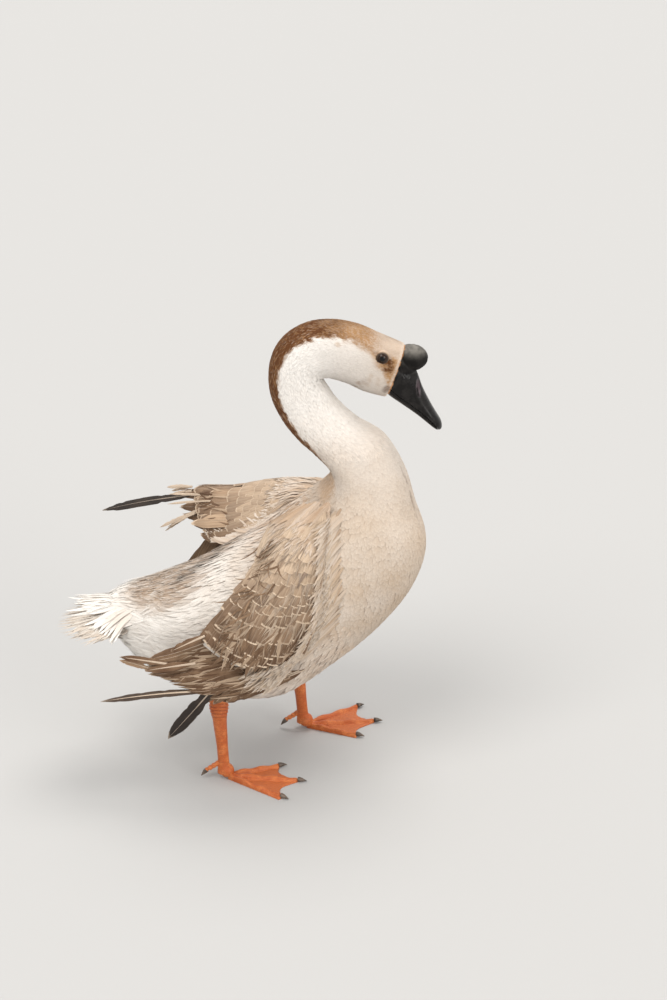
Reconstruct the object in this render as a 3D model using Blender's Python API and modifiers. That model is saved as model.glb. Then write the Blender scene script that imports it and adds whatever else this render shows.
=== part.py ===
"""A brown Chinese goose at life size, standing with one wing dropped and the other held half open.

Metres, +Z up. The bird faces +X and its left side is +Y. It stands on Z = 0, and the middle of its
outline, seen from above, is the origin. Sizes are the outline of the plumage, out to the feather tips.
"""

import math

import bmesh
import bpy
from mathutils import Matrix, Vector

# ---------------------------------------------------------------- driving dimensions, in metres
GAP = 0.0004  # left between pieces that meet
ROOM = 0.0008  # kept clear around a piece that others are cut back to
TIP_THICKNESS = 0.0012  # of a single long feather
SECTION_ROUNDNESS = 2.3  # 2 is an ellipse, more is boxier
SECTION_POINTS = 28

# The plumage outline: each section's back edge and belly edge as (x, z), and its half width.
BODY = (
    ("vent_tip", (-0.192, 0.218), (-0.190, 0.190), 0.022),
    ("tail_root", (-0.170, 0.230), (-0.173, 0.162), 0.043),
    ("vent", (-0.132, 0.242), (-0.141, 0.132), 0.062),
    ("rump", (-0.078, 0.262), (-0.086, 0.108), 0.082),
    ("loin", (-0.034, 0.288), (-0.034, 0.094), 0.094),
    ("flank", (0.008, 0.318), (0.022, 0.099), 0.098),
    ("chest", (0.040, 0.345), (0.084, 0.142), 0.096),
    ("breast_low", (0.062, 0.361), (0.138, 0.190), 0.090),
    ("breast", (0.073, 0.372), (0.178, 0.242), 0.081),
    ("breast_top", (0.078, 0.381), (0.194, 0.294), 0.070),
    ("crop", (0.078, 0.390), (0.181, 0.344), 0.058),
    ("neck_base", (0.072, 0.400), (0.168, 0.389), 0.049),
    ("neck_low", (0.057, 0.414), (0.145, 0.430), 0.039),
    ("neck_mid", (0.038, 0.432), (0.112, 0.453), 0.0335),
    ("neck_upper", (0.020, 0.457), (0.089, 0.4755), 0.031),
    ("bend_low", (0.007, 0.489), (0.075, 0.496), 0.030),
    ("bend", (0.007, 0.526), (0.070, 0.506), 0.030),
    ("bend_high", (0.021, 0.555), (0.069, 0.508), 0.0305),
    ("nape", (0.048, 0.5735), (0.0705, 0.509), 0.031),
    ("crown_back", (0.079, 0.578), (0.079, 0.509), 0.033),
    ("crown", (0.110, 0.5725), (0.096, 0.5035), 0.0335),
    ("forehead", (0.138, 0.5605), (0.1175, 0.4925), 0.030),
    ("bill_base", (0.1650, 0.5490), (0.1425, 0.4845), 0.0235),
)
STATION = {row[0]: index for index, row in enumerate(BODY)}

# The bill, on an axis that runs from the middle of its base to its tip.
BILL_BASE = Vector((0.1545, 0.0, 0.5215))
BILL_AXIS = Vector((0.5507, 0.0, -0.8347))
BILL_UP = Vector((0.8347, 0.0, 0.5507))
# Each section: the ridge, the mouth line and the jaw's lower edge as (along, above), and the half width.
BILL = (
    ((-0.0060, 0.0120), (0.0090, -0.0180), (0.0130, -0.0275), 0.0195),
    ((0.0110, 0.0186), (0.0210, -0.0160), (0.0235, -0.0256), 0.0190),
    ((0.0240, 0.0166), (0.0320, -0.0132), (0.0325, -0.0226), 0.0178),
    ((0.0400, 0.0126), (0.0450, -0.0090), (0.0455, -0.0180), 0.0160),
    ((0.0600, 0.0098), (0.0620, -0.0042), (0.0625, -0.0120), 0.0145),
    ((0.0760, 0.0084), (0.0770, -0.0012), (0.0770, -0.0078), 0.0136),
    ((0.0880, 0.0076), (0.0880, 0.0002), (0.0870, -0.0050), 0.0118),
    ((0.0945, 0.0048), (0.0935, -0.0006), (0.0915, -0.0036), 0.0072),
    ((0.0968, 0.0022), (0.0960, -0.0008), (0.0930, -0.0028), 0.0030),
)
JAW_NARROWER = 0.90  # the lower jaw's width as a share of the upper's
KNOB_CENTRE = (0.1728, 0.5325)
KNOB_RADII = (0.0200, 0.0155, 0.0160)

EYE_CENTRE = (0.1388, 0.0214, 0.5418)
EYE_RADIUS = 0.0076

# Legs: where each foot's toes meet, its ankle and where the feathers of its leg begin.
FEET = {"right": Vector((-0.052, -0.064, 0.0)), "left": Vector((0.044, 0.062, 0.0))}
ANKLES = {"right": Vector((-0.0575, -0.062, 0.098)), "left": Vector((0.036, 0.060, 0.098))}
KNEES = {"right": Vector((-0.0550, -0.060, 0.127)), "left": Vector((0.036, 0.059, 0.124))}
THIGHS = {"right": Vector((-0.022, -0.054, 0.172)), "left": Vector((0.022, 0.054, 0.170))}
THIGH_RADII = (0.044, 0.041, 0.034, 0.025, 0.0165)
TOE_TURN = {"right": -6.0, "left": 8.0}  # the way each middle toe points, in degrees from +X
TOES = ((-28.0, 0.086), (0.0, 0.092), (27.0, 0.072))  # outer, middle, inner: spread and length
TOE_HEIGHT, TOE_WIDTH, WEB_HEIGHT = 0.0085, 0.0110, 0.0022
TOE_JOINT_RADIUS = 0.0080
TARSUS_RADII = (0.0068, 0.0062, 0.0074, 0.0098, 0.0114)
CLAW_LENGTH, CLAW_RADIUS = 0.010, 0.0030

# Wings: sheets drawn through these points. Each row runs from the shoulder outwards.
RIGHT_COVERTS = (
    ((0.0732, -0.062, 0.3615), (0.0684, -0.093, 0.3118), (0.0648, -0.104, 0.2477), (0.0420, -0.102, 0.1858)),
    ((0.0540, -0.067, 0.3633), (0.0420, -0.104, 0.3095), (0.0276, -0.117, 0.2445), (0.0060, -0.112, 0.1676)),
    ((0.0300, -0.062, 0.3561), (0.0132, -0.101, 0.3059), (-0.0108, -0.117, 0.2471), (-0.0444, -0.115, 0.1667)),
    ((0.0060, -0.050, 0.3386), (-0.0130, -0.086, 0.2967), (-0.0470, -0.105, 0.2575), (-0.0850, -0.110, 0.1993)),
)
RIGHT_FLIGHT = (
    ((-0.0560, -0.101, 0.216), (-0.0830, -0.104, 0.206), (-0.1100, -0.106, 0.197), (-0.1350, -0.106, 0.191)),
    ((-0.0400, -0.105, 0.190), (-0.0780, -0.107, 0.182), (-0.1120, -0.108, 0.174), (-0.1420, -0.108, 0.172)),
    ((-0.0140, -0.106, 0.166), (-0.0560, -0.108, 0.156), (-0.0900, -0.108, 0.152), (-0.1180, -0.108, 0.156)),
    ((0.0280, -0.102, 0.162), (-0.0150, -0.105, 0.144), (-0.0470, -0.106, 0.134), (-0.0730, -0.106, 0.142)),
)
LEFT_COVERTS = (
    ((0.0900, 0.088, 0.262), (0.0480, 0.124, 0.232), (-0.0120, 0.148, 0.222), (-0.0700, 0.158, 0.246)),
    ((0.0840, 0.092, 0.298), (0.0420, 0.128, 0.280), (-0.0140, 0.152, 0.259), (-0.0820, 0.162, 0.270)),
    ((0.0680, 0.068, 0.337), (0.0200, 0.104, 0.3215), (-0.0350, 0.132, 0.300), (-0.1000, 0.148, 0.293)),
    ((0.0540, 0.050, 0.344), (0.0060, 0.082, 0.3295), (-0.0450, 0.110, 0.307), (-0.1120, 0.130, 0.297)),
    ((0.0420, 0.036, 0.343), (-0.0040, 0.060, 0.317), (-0.0500, 0.084, 0.292), (-0.1040, 0.104, 0.282)),
    ((0.0260, 0.026, 0.332), (-0.0130, 0.040, 0.298), (-0.0500, 0.058, 0.274), (-0.0860, 0.080, 0.264)),
)
# The left wing's inner flight feathers, folded in between its hollow side and the flank.
LEFT_FLIGHT = (
    ((0.0400, 0.127, 0.236), (-0.0060, 0.119, 0.189), (-0.0520, 0.104, 0.138)),
    ((0.0050, 0.139, 0.231), (-0.0460, 0.127, 0.196), (-0.0970, 0.107, 0.156)),
    ((-0.0300, 0.150, 0.226), (-0.0860, 0.134, 0.203), (-0.1420, 0.110, 0.175)),
    ((-0.0240, 0.146, 0.246), (-0.0720, 0.131, 0.224), (-0.1260, 0.107, 0.185)),
    ((-0.0340, 0.136, 0.282), (-0.0660, 0.120, 0.246), (-0.0990, 0.100, 0.199)),
)
# Single long feathers: quill end, point, half width, and the way its flat side faces.
FEATHERS = {
    "wing_right_primary_1": ((-0.0500, -0.106, 0.146), (-0.1960, -0.112, 0.134), 0.0052, (0, -0.5, 1)),
    "wing_right_primary_2": ((-0.0560, -0.105, 0.156), (-0.1170, -0.116, 0.086), 0.0085, (0, -1, 0.2)),
    "wing_right_primary_3": ((-0.1300, -0.108, 0.174), (-0.1720, -0.112, 0.190), 0.0040, (0, -0.6, 1)),
    "wing_left_primary_1": ((-0.0900, 0.118, 0.300), (-0.2060, 0.124, 0.276), 0.0065, (0, -0.6, 1)),
    "wing_left_quill_1": ((-0.0900, 0.096, 0.286), (-0.1340, 0.104, 0.262), 0.0030, (0, -1, 1)),
    "wing_left_quill_2": ((-0.0950, 0.132, 0.300), (-0.1300, 0.140, 0.286), 0.0034, (0, -1, 1)),
    "wing_left_quill_3": ((-0.0950, 0.150, 0.297), (-0.1280, 0.158, 0.292), 0.0040, (0, -1, 1)),
}

# The tail fan: where its feathers spread from, their length, spread and slope.
TAIL_ROOT = Vector((-0.128, 0.0, 0.208))
TAIL_LENGTHS = (0.086, 0.098, 0.107, 0.116, 0.106)  # from the bird's left side to its right
TAIL_SPREAD, TAIL_SLOPE, TAIL_TURN = 34.0, -4.0, 8.0
TAIL_FEATHERS = 6  # on each side of the middle
TAIL_THICKNESS = 0.012

COLOURS = {
    "plumage_white": ((0.86, 0.82, 0.75), 0.80),
    "plumage_buff": ((0.76, 0.62, 0.46), 0.80),
    "plumage_brown": ((0.33, 0.22, 0.14), 0.75),
    "bill_black": ((0.020, 0.019, 0.020), 0.38),
    "eye_dark": ((0.030, 0.014, 0.008), 0.06),
    "leg_orange": ((0.72, 0.20, 0.05), 0.45),
    "claw_horn": ((0.10, 0.075, 0.06), 0.40),
}


# ---------------------------------------------------------------- scene and objects
def clear_scene():
    for obj in list(bpy.data.objects):
        bpy.data.objects.remove(obj)


def collection(name):
    made = bpy.data.collections.new(name)
    bpy.context.scene.collection.children.link(made)
    return made


def material(name):
    found = bpy.data.materials.get(name)
    if found:
        return found
    colour, roughness = COLOURS[name]
    made = bpy.data.materials.new(name)
    made.use_nodes = True
    shader = made.node_tree.nodes["Principled BSDF"]
    shader.inputs["Base Color"].default_value = (*colour, 1.0)
    shader.inputs["Roughness"].default_value = roughness
    shader.inputs["Metallic"].default_value = 0.0
    return made


def add_object(name, bm, finish, home="goose"):
    mesh = bpy.data.meshes.new(name)
    bm.to_mesh(mesh)
    bm.free()
    mesh.shade_smooth()
    mesh.set_sharp_from_angle(angle=math.radians(40))
    mesh.materials.append(material(finish))
    obj = bpy.data.objects.new(name, mesh)
    bpy.data.collections[home].objects.link(obj)
    return obj


def as_cutter(obj):
    obj.hide_render = True
    obj.display_type = "WIRE"
    return obj


def boolean(obj, other, operation):
    modifier = obj.modifiers.new(other.name, "BOOLEAN")
    modifier.operation = operation
    modifier.solver = "EXACT"
    modifier.object = other


def keep_largest(obj):
    """Applies obj's modifiers and removes everything but the largest connected piece."""
    bpy.context.view_layer.update()
    graph = bpy.context.evaluated_depsgraph_get()
    bm = bmesh.new()
    bm.from_mesh(obj.evaluated_get(graph).to_mesh())
    left, pieces = set(bm.verts), []
    while left:
        piece, edge = set(), [left.pop()]
        while edge:
            vertex = edge.pop()
            piece.add(vertex)
            for link in vertex.link_edges:
                other = link.other_vert(vertex)
                if other in left:
                    left.discard(other)
                    edge.append(other)
        pieces.append(piece)
    pieces.sort(key=len)
    for piece in pieces[:-1]:
        bmesh.ops.delete(bm, geom=list(piece), context="VERTS")
    obj.modifiers.clear()
    bm.to_mesh(obj.data)
    bm.free()


def room_around(obj):
    """A cutter in obj's own shape, a little larger all round."""
    bm = bmesh.new()
    bm.from_mesh(obj.data)
    bm.normal_update()
    moved = [vertex.co + vertex.normal * ROOM for vertex in bm.verts]
    for vertex, place in zip(bm.verts, moved):
        vertex.co = place
    return as_cutter(add_object(f"{obj.name}_room", bm, obj.data.materials[0].name, "cutters"))


# ---------------------------------------------------------------- smooth curves and lofts
def along_curve(values, t):
    """A smooth curve through values (numbers or vectors), at t counted in steps between them."""
    last = len(values) - 1
    i = max(0, min(last - 1, int(math.floor(t))))
    f = t - i
    p0, p1, p2, p3 = (values[max(0, min(last, i + k))] for k in (-1, 0, 1, 2))
    return (p1 * 2 + (p2 - p0) * f + (p0 * 2 - p1 * 5 + p2 * 4 - p3) * f * f
            + (p1 * 3 - p0 - p2 * 3 + p3) * f * f * f) * 0.5


def between(start, end, steps):
    return [start + (end - start) * i / steps for i in range(steps + 1)]


def rounded(value, power):
    return math.copysign(abs(value) ** power, value)


def section_ring(back, belly, half_width, points):
    """A closed ring through the back and belly edges, as wide as half_width on each side."""
    middle, half = (back + belly) / 2, (back - belly) / 2
    power = 2 / SECTION_ROUNDNESS
    ring = []
    for i in range(points):
        angle = 2 * math.pi * i / points
        side = Vector((0, half_width * rounded(math.sin(angle), power), 0))
        ring.append(middle + half * rounded(math.cos(angle), power) + side)
    return ring


def loft(name, rings, finish, home="goose"):
    """A closed surface through rings whose points correspond, with a flat face on each end ring."""
    bm = bmesh.new()
    loops = [[bm.verts.new(point) for point in ring] for ring in rings]
    for low, high in zip(loops, loops[1:]):
        for i in range(len(low)):
            j = (i + 1) % len(low)
            bm.faces.new((low[i], low[j], high[j], high[i]))
    bm.faces.new(loops[0])
    bm.faces.new(loops[-1])
    bmesh.ops.recalc_face_normals(bm, faces=bm.faces)
    return add_object(name, bm, finish, home)


# ---------------------------------------------------------------- head, neck and trunk
def body_ring(t, points):
    back = along_curve([Vector((row[1][0], 0, row[1][1])) for row in BODY], t)
    belly = along_curve([Vector((row[2][0], 0, row[2][1])) for row in BODY], t)
    half_width = along_curve([row[3] for row in BODY], t)
    return section_ring(back, belly, half_width, points)


def body_piece(name, first, last, steps, finish):
    """The body between two stations, which may be fractions of a step, short of each end by half a gap."""
    length = (sum(body_ring(last, 4), Vector()) - sum(body_ring(first, 4), Vector())).length / 4
    short = GAP / 2 / length * (last - first)
    stops = between(first + short, last - short, steps)
    return loft(name, [body_ring(t, SECTION_POINTS) for t in stops], finish)


def make_body():
    neck_start, neck_middle = STATION["crop"] + 0.5, STATION["neck_mid"] + 0.5
    neck_top, head_start = STATION["bend"], STATION["crown_back"] - 0.4
    trunk = body_piece("trunk", 0, neck_start, 21, "plumage_white")
    body_piece("neck_lower", neck_start, neck_middle, 6, "plumage_white")
    body_piece("neck_middle", neck_middle, neck_top, 5, "plumage_white")
    body_piece("neck_upper", neck_top, head_start, 6, "plumage_brown")
    head = body_piece("head", head_start, STATION["bill_base"], 8, "plumage_buff")
    return trunk, head


def make_eyes(head):
    for side, name in ((1, "left"), (-1, "right")):
        centre = Vector((EYE_CENTRE[0], side * EYE_CENTRE[1], EYE_CENTRE[2]))
        for radius, home in ((EYE_RADIUS, "goose"), (EYE_RADIUS + GAP, "cutters")):
            bm = bmesh.new()
            bmesh.ops.create_uvsphere(bm, u_segments=14, v_segments=8, radius=radius)
            bmesh.ops.translate(bm, verts=bm.verts, vec=centre)
            label = f"eye_{name}" if home == "goose" else f"socket_{name}"
            ball = add_object(label, bm, "eye_dark", home)
            if home == "cutters":
                boolean(head, as_cutter(ball), "DIFFERENCE")


# ---------------------------------------------------------------- bill and knob
def bill_point(place):
    along, above = place
    return BILL_BASE + BILL_AXIS * along + BILL_UP * above


def half_ring(edge, rim, half_width, points):
    """A ring with a flat side at rim and an arch over edge."""
    arch = []
    for i in range(points + 1):
        angle = math.pi * i / points
        side = Vector((0, half_width * math.cos(angle), 0))
        arch.append(rim + (edge - rim) * rounded(math.sin(angle), 0.8) + side)
    return arch


def smooth_rows(rows, steps):
    """BILL's rows with steps rows to each space, as points."""
    columns = [[bill_point(row[k]) for row in rows] for k in range(3)]
    widths = [row[3] for row in rows]
    stops = between(0, len(rows) - 1, steps * (len(rows) - 1))
    return [(*(along_curve(column, t) for column in columns), along_curve(widths, t)) for t in stops]


def make_bill(head_room):
    rows = smooth_rows(BILL, 1)
    half_gap = BILL_UP * GAP / 2
    upper = [half_ring(ridge, mouth + half_gap, width, 10) for ridge, mouth, _, width in rows]
    lower = [half_ring(jaw, mouth - half_gap, width * JAW_NARROWER, 10) for _, mouth, jaw, width in rows]
    bill = loft("bill_upper", upper, "bill_black")
    jaw = loft("bill_lower", lower, "bill_black")
    for size, home in ((0.0, "goose"), (GAP, "cutters")):
        bm = bmesh.new()
        bmesh.ops.create_uvsphere(bm, u_segments=18, v_segments=10, radius=1.0)
        scale = Matrix.Diagonal([radius + size for radius in KNOB_RADII])
        bmesh.ops.transform(bm, matrix=scale.to_4x4(), verts=bm.verts)
        bmesh.ops.translate(bm, verts=bm.verts, vec=(KNOB_CENTRE[0], 0, KNOB_CENTRE[1]))
        knob = add_object("knob" if home == "goose" else "knob_room", bm, "bill_black", home)
        if home == "goose":
            boolean(knob, head_room, "DIFFERENCE")
        else:
            boolean(bill, as_cutter(knob), "DIFFERENCE")
    boolean(bill, head_room, "DIFFERENCE")
    boolean(jaw, head_room, "DIFFERENCE")


# ---------------------------------------------------------------- legs and feet
def turned(angle_degrees):
    angle = math.radians(angle_degrees)
    return Vector((math.cos(angle), math.sin(angle), 0))


def toe_angles(side):
    """The toes of one foot as (angle, length), from its own right to its own left."""
    mirror = 1 if side == "right" else -1
    return sorted((TOE_TURN[side] + mirror * spread, length) for spread, length in TOES)


def foot_reach(angle, toes):
    """How far the foot reaches at this angle: to a toe's end on a toe, less on the web between."""
    first, last = toes[0], toes[-1]
    if angle <= first[0] or angle >= last[0]:
        return first[1] if angle <= first[0] else last[1]
    for (a, long_a), (b, long_b) in zip(toes, toes[1:]):
        if a <= angle <= b:
            share = (angle - a) / (b - a)
            straight = long_a + (long_b - long_a) * share
            return straight * (1 - 0.16 * math.sin(math.pi * share))


def toe_relief(place, toes):
    """Height of the foot's upper side at a point: a rounded ridge along each toe, and the web."""
    reach = place.length
    height = WEB_HEIGHT
    for angle, length in toes:
        axis = turned(angle)
        off = abs(axis.x * place.y - axis.y * place.x)
        along = min(1.0, reach / length)
        knuckle = 1 + 0.10 * math.cos(along * math.pi * 6)
        size = (1 - 0.38 * along) * knuckle
        across = off / (TOE_WIDTH / 2 * size)
        height = max(height, TOE_HEIGHT * size * math.sqrt(max(0.0, 1 - across * across)))
    return height


def make_foot(side):
    """Three toes and their web, flat below, as one closed piece in fan-shaped rows of points."""
    toes = toe_angles(side)
    margin = 4.0
    columns, rows = 20, 6
    angles = between(toes[0][0] - margin, toes[-1][0] + margin, columns)
    bm = bmesh.new()
    layers = {}
    for layer in ("top", "sole"):
        for i, angle in enumerate(angles):
            for j in range(rows + 1):
                place = turned(angle) * foot_reach(angle, toes) * (0.10 + 0.90 * j / rows)
                on_rim = i in (0, columns) or j in (0, rows)
                rise = 0.0 if layer == "sole" else toe_relief(place, toes) * (0.6 if on_rim else 1.0)
                layers[layer, i, j] = bm.verts.new(FEET[side] + place + Vector((0, 0, rise)))
    for i in range(columns):
        for j in range(rows):
            for layer in ("top", "sole"):
                corners = [layers[layer, i + a, j + b] for a, b in ((0, 0), (1, 0), (1, 1), (0, 1))]
                bm.faces.new(corners)
    rim = ([(i, 0) for i in range(columns)] + [(columns, j) for j in range(rows)]
           + [(i, rows) for i in range(columns, 0, -1)] + [(0, j) for j in range(rows, 0, -1)])
    for (i, j), (k, m) in zip(rim, rim[1:] + rim[:1]):
        bm.faces.new((layers["top", i, j], layers["top", k, m], layers["sole", k, m], layers["sole", i, j]))
    bmesh.ops.recalc_face_normals(bm, faces=bm.faces)
    return add_object(f"foot_{side}", bm, "leg_orange")


def tube_mesh(name, points, radii, finish, sides=12):
    """A tube with its own radius at each point, made as a curve and turned into a closed mesh."""
    curve = bpy.data.curves.new(name + "_line", "CURVE")
    curve.dimensions = "3D"
    curve.bevel_depth = 1.0
    curve.bevel_resolution = sides // 4 - 1
    curve.use_fill_caps = True
    spline = curve.splines.new("POLY")
    spline.points.add(len(points) - 1)
    for knot, point, radius in zip(spline.points, points, radii):
        knot.co = (*point, 1.0)
        knot.radius = radius
    guide = bpy.data.objects.new(name + "_line", curve)
    bpy.data.collections["goose"].objects.link(guide)
    bpy.context.view_layer.update()
    graph = bpy.context.evaluated_depsgraph_get()
    bm = bmesh.new()
    bm.from_mesh(bpy.data.meshes.new_from_object(guide.evaluated_get(graph)))
    bmesh.ops.remove_doubles(bm, verts=bm.verts, dist=0.00002)
    bpy.data.objects.remove(guide)
    return add_object(name, bm, finish)


def make_claw(name, root, direction, drop):
    """A blunt claw: a cone that points along direction and down."""
    bm = bmesh.new()
    bmesh.ops.create_cone(bm, cap_ends=True, segments=8, radius1=CLAW_RADIUS, radius2=0.0009, depth=CLAW_LENGTH)
    aim = (direction + Vector((0, 0, -drop))).normalized()
    turn = aim.to_track_quat("Z", "Y").to_matrix().to_4x4()
    bmesh.ops.transform(bm, matrix=Matrix.Translation(root + aim * CLAW_LENGTH / 2) @ turn, verts=bm.verts)
    return add_object(name, bm, "claw_horn")


def ball(name, centre, radius):
    bm = bmesh.new()
    bmesh.ops.create_uvsphere(bm, u_segments=12, v_segments=8, radius=radius)
    bmesh.ops.translate(bm, verts=bm.verts, vec=centre)
    return as_cutter(add_object(name, bm, "leg_orange", "cutters"))


def make_shank(side, trunk_room):
    """The bare leg from the toes' joint, past the ankle, to where the plumage begins."""
    foot, ankle, knee = FEET[side], ANKLES[side], KNEES[side]
    joint = foot + Vector((0.004, 0, TOE_HEIGHT + 0.0040))
    base = foot + Vector((0, 0, TOE_HEIGHT + 0.0060))
    stops = [base + (ankle - base) * share for share in (0.0, 0.35, 0.70, 1.0)] + [knee]
    shank = tube_mesh(f"tarsus_{side}", stops, TARSUS_RADII, "leg_orange")
    boolean(shank, ball(f"toe_joint_{side}", joint, TOE_JOINT_RADIUS), "UNION")
    boolean(shank, trunk_room, "DIFFERENCE")
    keep_largest(shank)
    return ball(f"toe_joint_room_{side}", joint, TOE_JOINT_RADIUS + GAP)


def make_thigh(side, trunk_room):
    top, bottom = THIGHS[side], KNEES[side] + Vector((0, 0, 0.0024))
    shares = between(0, 1, len(THIGH_RADII) - 1)
    around = between(0, 2 * math.pi, 20)[:-1]
    rings = []
    for share, radius in zip(shares, THIGH_RADII):
        middle = top + (bottom - top) * share
        rings.append([middle + Vector((radius * 1.15 * math.cos(a), radius * math.sin(a), 0)) for a in around])
    thigh = loft(f"thigh_{side}", rings, "plumage_white")
    boolean(thigh, trunk_room, "DIFFERENCE")
    keep_largest(thigh)


def make_leg(side, trunk_room):
    boolean(make_foot(side), make_shank(side, trunk_room), "DIFFERENCE")
    for number, (angle, length) in enumerate(toe_angles(side), 1):
        root = FEET[side] + turned(angle) * (length + GAP) + Vector((0, 0, 0.0042))
        make_claw(f"claw_{side}_{number}", root, turned(angle), 0.06)
    heel = FEET[side] + Vector((-0.0088, 0, 0.022))
    stops = [heel, heel + Vector((-0.008, 0, -0.004)), heel + Vector((-0.014, 0, -0.009))]
    tube_mesh(f"hind_toe_{side}", stops, (0.0034, 0.0034, 0.0026), "leg_orange", 8)
    make_claw(f"claw_{side}_hind", heel + Vector((-0.0148, 0, -0.0097)), Vector((-0.7, 0, 0)), 0.6)
    make_thigh(side, trunk_room)


# ---------------------------------------------------------------- wings and tail
def net_point(net, u, v):
    """A point of the smooth sheet through net's points, u along its rows and v from row to row."""
    rows = [along_curve([Vector(point) for point in row], u * (len(row) - 1)) for row in net]
    return along_curve(rows, v * (len(net) - 1))


def sheet(name, place, columns, rows, depth, finish):
    """A closed sheet on place(u, v) that is depth(u, v) thick."""
    bm = bmesh.new()
    bmesh.ops.create_grid(bm, x_segments=columns, y_segments=rows, size=0.5)
    depths = []
    for vertex in bm.verts:
        u, v = vertex.co.x + 0.5, vertex.co.y + 0.5
        vertex.co = place(u, v)
        depths.append(depth(u, v))
    obj = add_object(name, bm, finish)
    group = obj.vertex_groups.new(name="depth")
    for index, thickness in enumerate(depths):
        group.add([index], thickness / max(depths), "REPLACE")
    solidify = obj.modifiers.new("thickness", "SOLIDIFY")
    solidify.thickness = max(depths)
    solidify.offset = 0.0
    solidify.vertex_group = "depth"
    solidify.use_even_offset = False
    return obj


def pillow(full, rim):
    """A depth that is full in the middle of a sheet and rim at its edges."""
    def depth(u, v):
        share = min(1.0, 4.5 * min(u + 0.10, 1 - u, v, 1 - v))
        return rim + (full - rim) * math.sin(share * math.pi / 2)
    return depth


def feather_sheet(name, root, tip, half_width, face, finish):
    """One long feather: a narrow cambered blade from its quill to its point."""
    root, tip, face = Vector(root), Vector(tip), Vector(face).normalized()
    axis = tip - root
    side = axis.cross(face).normalized()
    face = side.cross(axis).normalized()

    def place(u, v):
        width = half_width * (0.35 + 0.65 * min(1.0, u * 4)) * (1 - max(0.0, u - 0.6) ** 2 * 4.2)
        across = 2 * v - 1
        bow = 0.03 * axis.length * math.sin(math.pi * u) - 0.18 * width * across * across
        return root + axis * u + side * across * width + face * bow

    return sheet(name, place, 6, 2, pillow(TIP_THICKNESS, TIP_THICKNESS * 0.7), finish)


def notched(count, v):
    """0 at the points of count feathers spread over v from 0 to 1, and 1 half way between them."""
    return 0.5 + 0.5 * math.cos(2 * math.pi * count * v)


def tail_place(u, v):
    """The fan at v from one side to the other and u from its root to the feather ends."""
    aside = 2 * v - 1
    length = along_curve(TAIL_LENGTHS, v * (len(TAIL_LENGTHS) - 1))
    length *= 1 - 0.06 * notched(2 * TAIL_FEATHERS, v)
    reach = 0.012 + (length - 0.012) * u
    rise = math.tan(math.radians(TAIL_SLOPE)) * reach - 0.008 * aside * aside
    return TAIL_ROOT + turned(180 + TAIL_TURN + TAIL_SPREAD * aside) * reach + Vector((0, 0, rise))


def tail_depth(u, v):
    return 0.0016 + (TAIL_THICKNESS - 0.0016) * (1 - u) * (1 - 0.6 * abs(2 * v - 1))


def ragged_net(net, feathers, notch):
    """place(u, v) on a net whose far end is cut into feather ends."""
    def place(u, v):
        return net_point(net, u * (1 - notch * notched(feathers, v)), v)
    return place


def make_wings(trunk_room):
    rooms = {}
    panels = (
        ("wing_right_coverts", ragged_net(RIGHT_COVERTS, 7, 0.03), 12, 14, 0.015, 0.0022),
        ("wing_left_coverts", ragged_net(LEFT_COVERTS, 8, 0.05), 8, 16, 0.009, 0.0020),
        ("wing_right_flight", ragged_net(RIGHT_FLIGHT, 6, 0.12), 8, 12, 0.0032, 0.0016),
        ("wing_left_flight", ragged_net(LEFT_FLIGHT, 5, 0.06), 5, 10, 0.0030, 0.0016),
    )
    for name, place, columns, rows, full, rim in panels:
        panel = sheet(name, place, columns, rows, pillow(full, rim), "plumage_brown")
        boolean(panel, trunk_room, "DIFFERENCE")
        if name.endswith("_flight"):
            boolean(panel, rooms[name.replace("flight", "coverts")], "DIFFERENCE")
        keep_largest(panel)
        rooms[name] = room_around(panel)
    for name, (root, tip, half_width, face) in FEATHERS.items():
        feather = feather_sheet(name, root, tip, half_width, face, "plumage_brown")
        for panel_name, room in rooms.items():
            if panel_name.split("_")[1] == name.split("_")[1]:
                boolean(feather, room, "DIFFERENCE")
        keep_largest(feather)


def make_tail(trunk_room):
    tail = sheet("tail", tail_place, 6, 24, tail_depth, "plumage_white")
    boolean(tail, trunk_room, "DIFFERENCE")
    keep_largest(tail)


# ---------------------------------------------------------------- the whole bird
def centre_on_origin():
    """Moves everything so that the middle of the outline, from above, is on the origin."""
    bpy.context.view_layer.update()
    graph = bpy.context.evaluated_depsgraph_get()
    corners = []
    for obj in bpy.data.collections["goose"].objects:
        mesh = obj.evaluated_get(graph).to_mesh()
        corners += [vertex.co.copy() for vertex in mesh.vertices]
    low = Vector([min(corner[k] for corner in corners) for k in range(3)])
    high = Vector([max(corner[k] for corner in corners) for k in range(3)])
    move = Vector((-(low.x + high.x) / 2, -(low.y + high.y) / 2, 0))
    for obj in bpy.data.objects:
        obj.location += move


def main():
    clear_scene()
    collection("goose")
    collection("cutters")
    trunk, head = make_body()
    trunk_room, head_room = room_around(trunk), room_around(head)
    make_eyes(head)
    make_bill(head_room)
    for side in FEET:
        make_leg(side, trunk_room)
    make_wings(trunk_room)
    make_tail(trunk_room)
    centre_on_origin()


main()
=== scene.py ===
"""The looks of a brown Chinese goose at life size: skin, bill, eyes, legs and every layer of its plumage.

Places are worked out in the bird's own frame, in metres: it faces +X and its left side is +Y. SHIFT
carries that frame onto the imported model's.
"""

import math

import bpy
import numpy as np
from mathutils import Matrix, Vector
from mathutils.kdtree import KDTree


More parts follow.
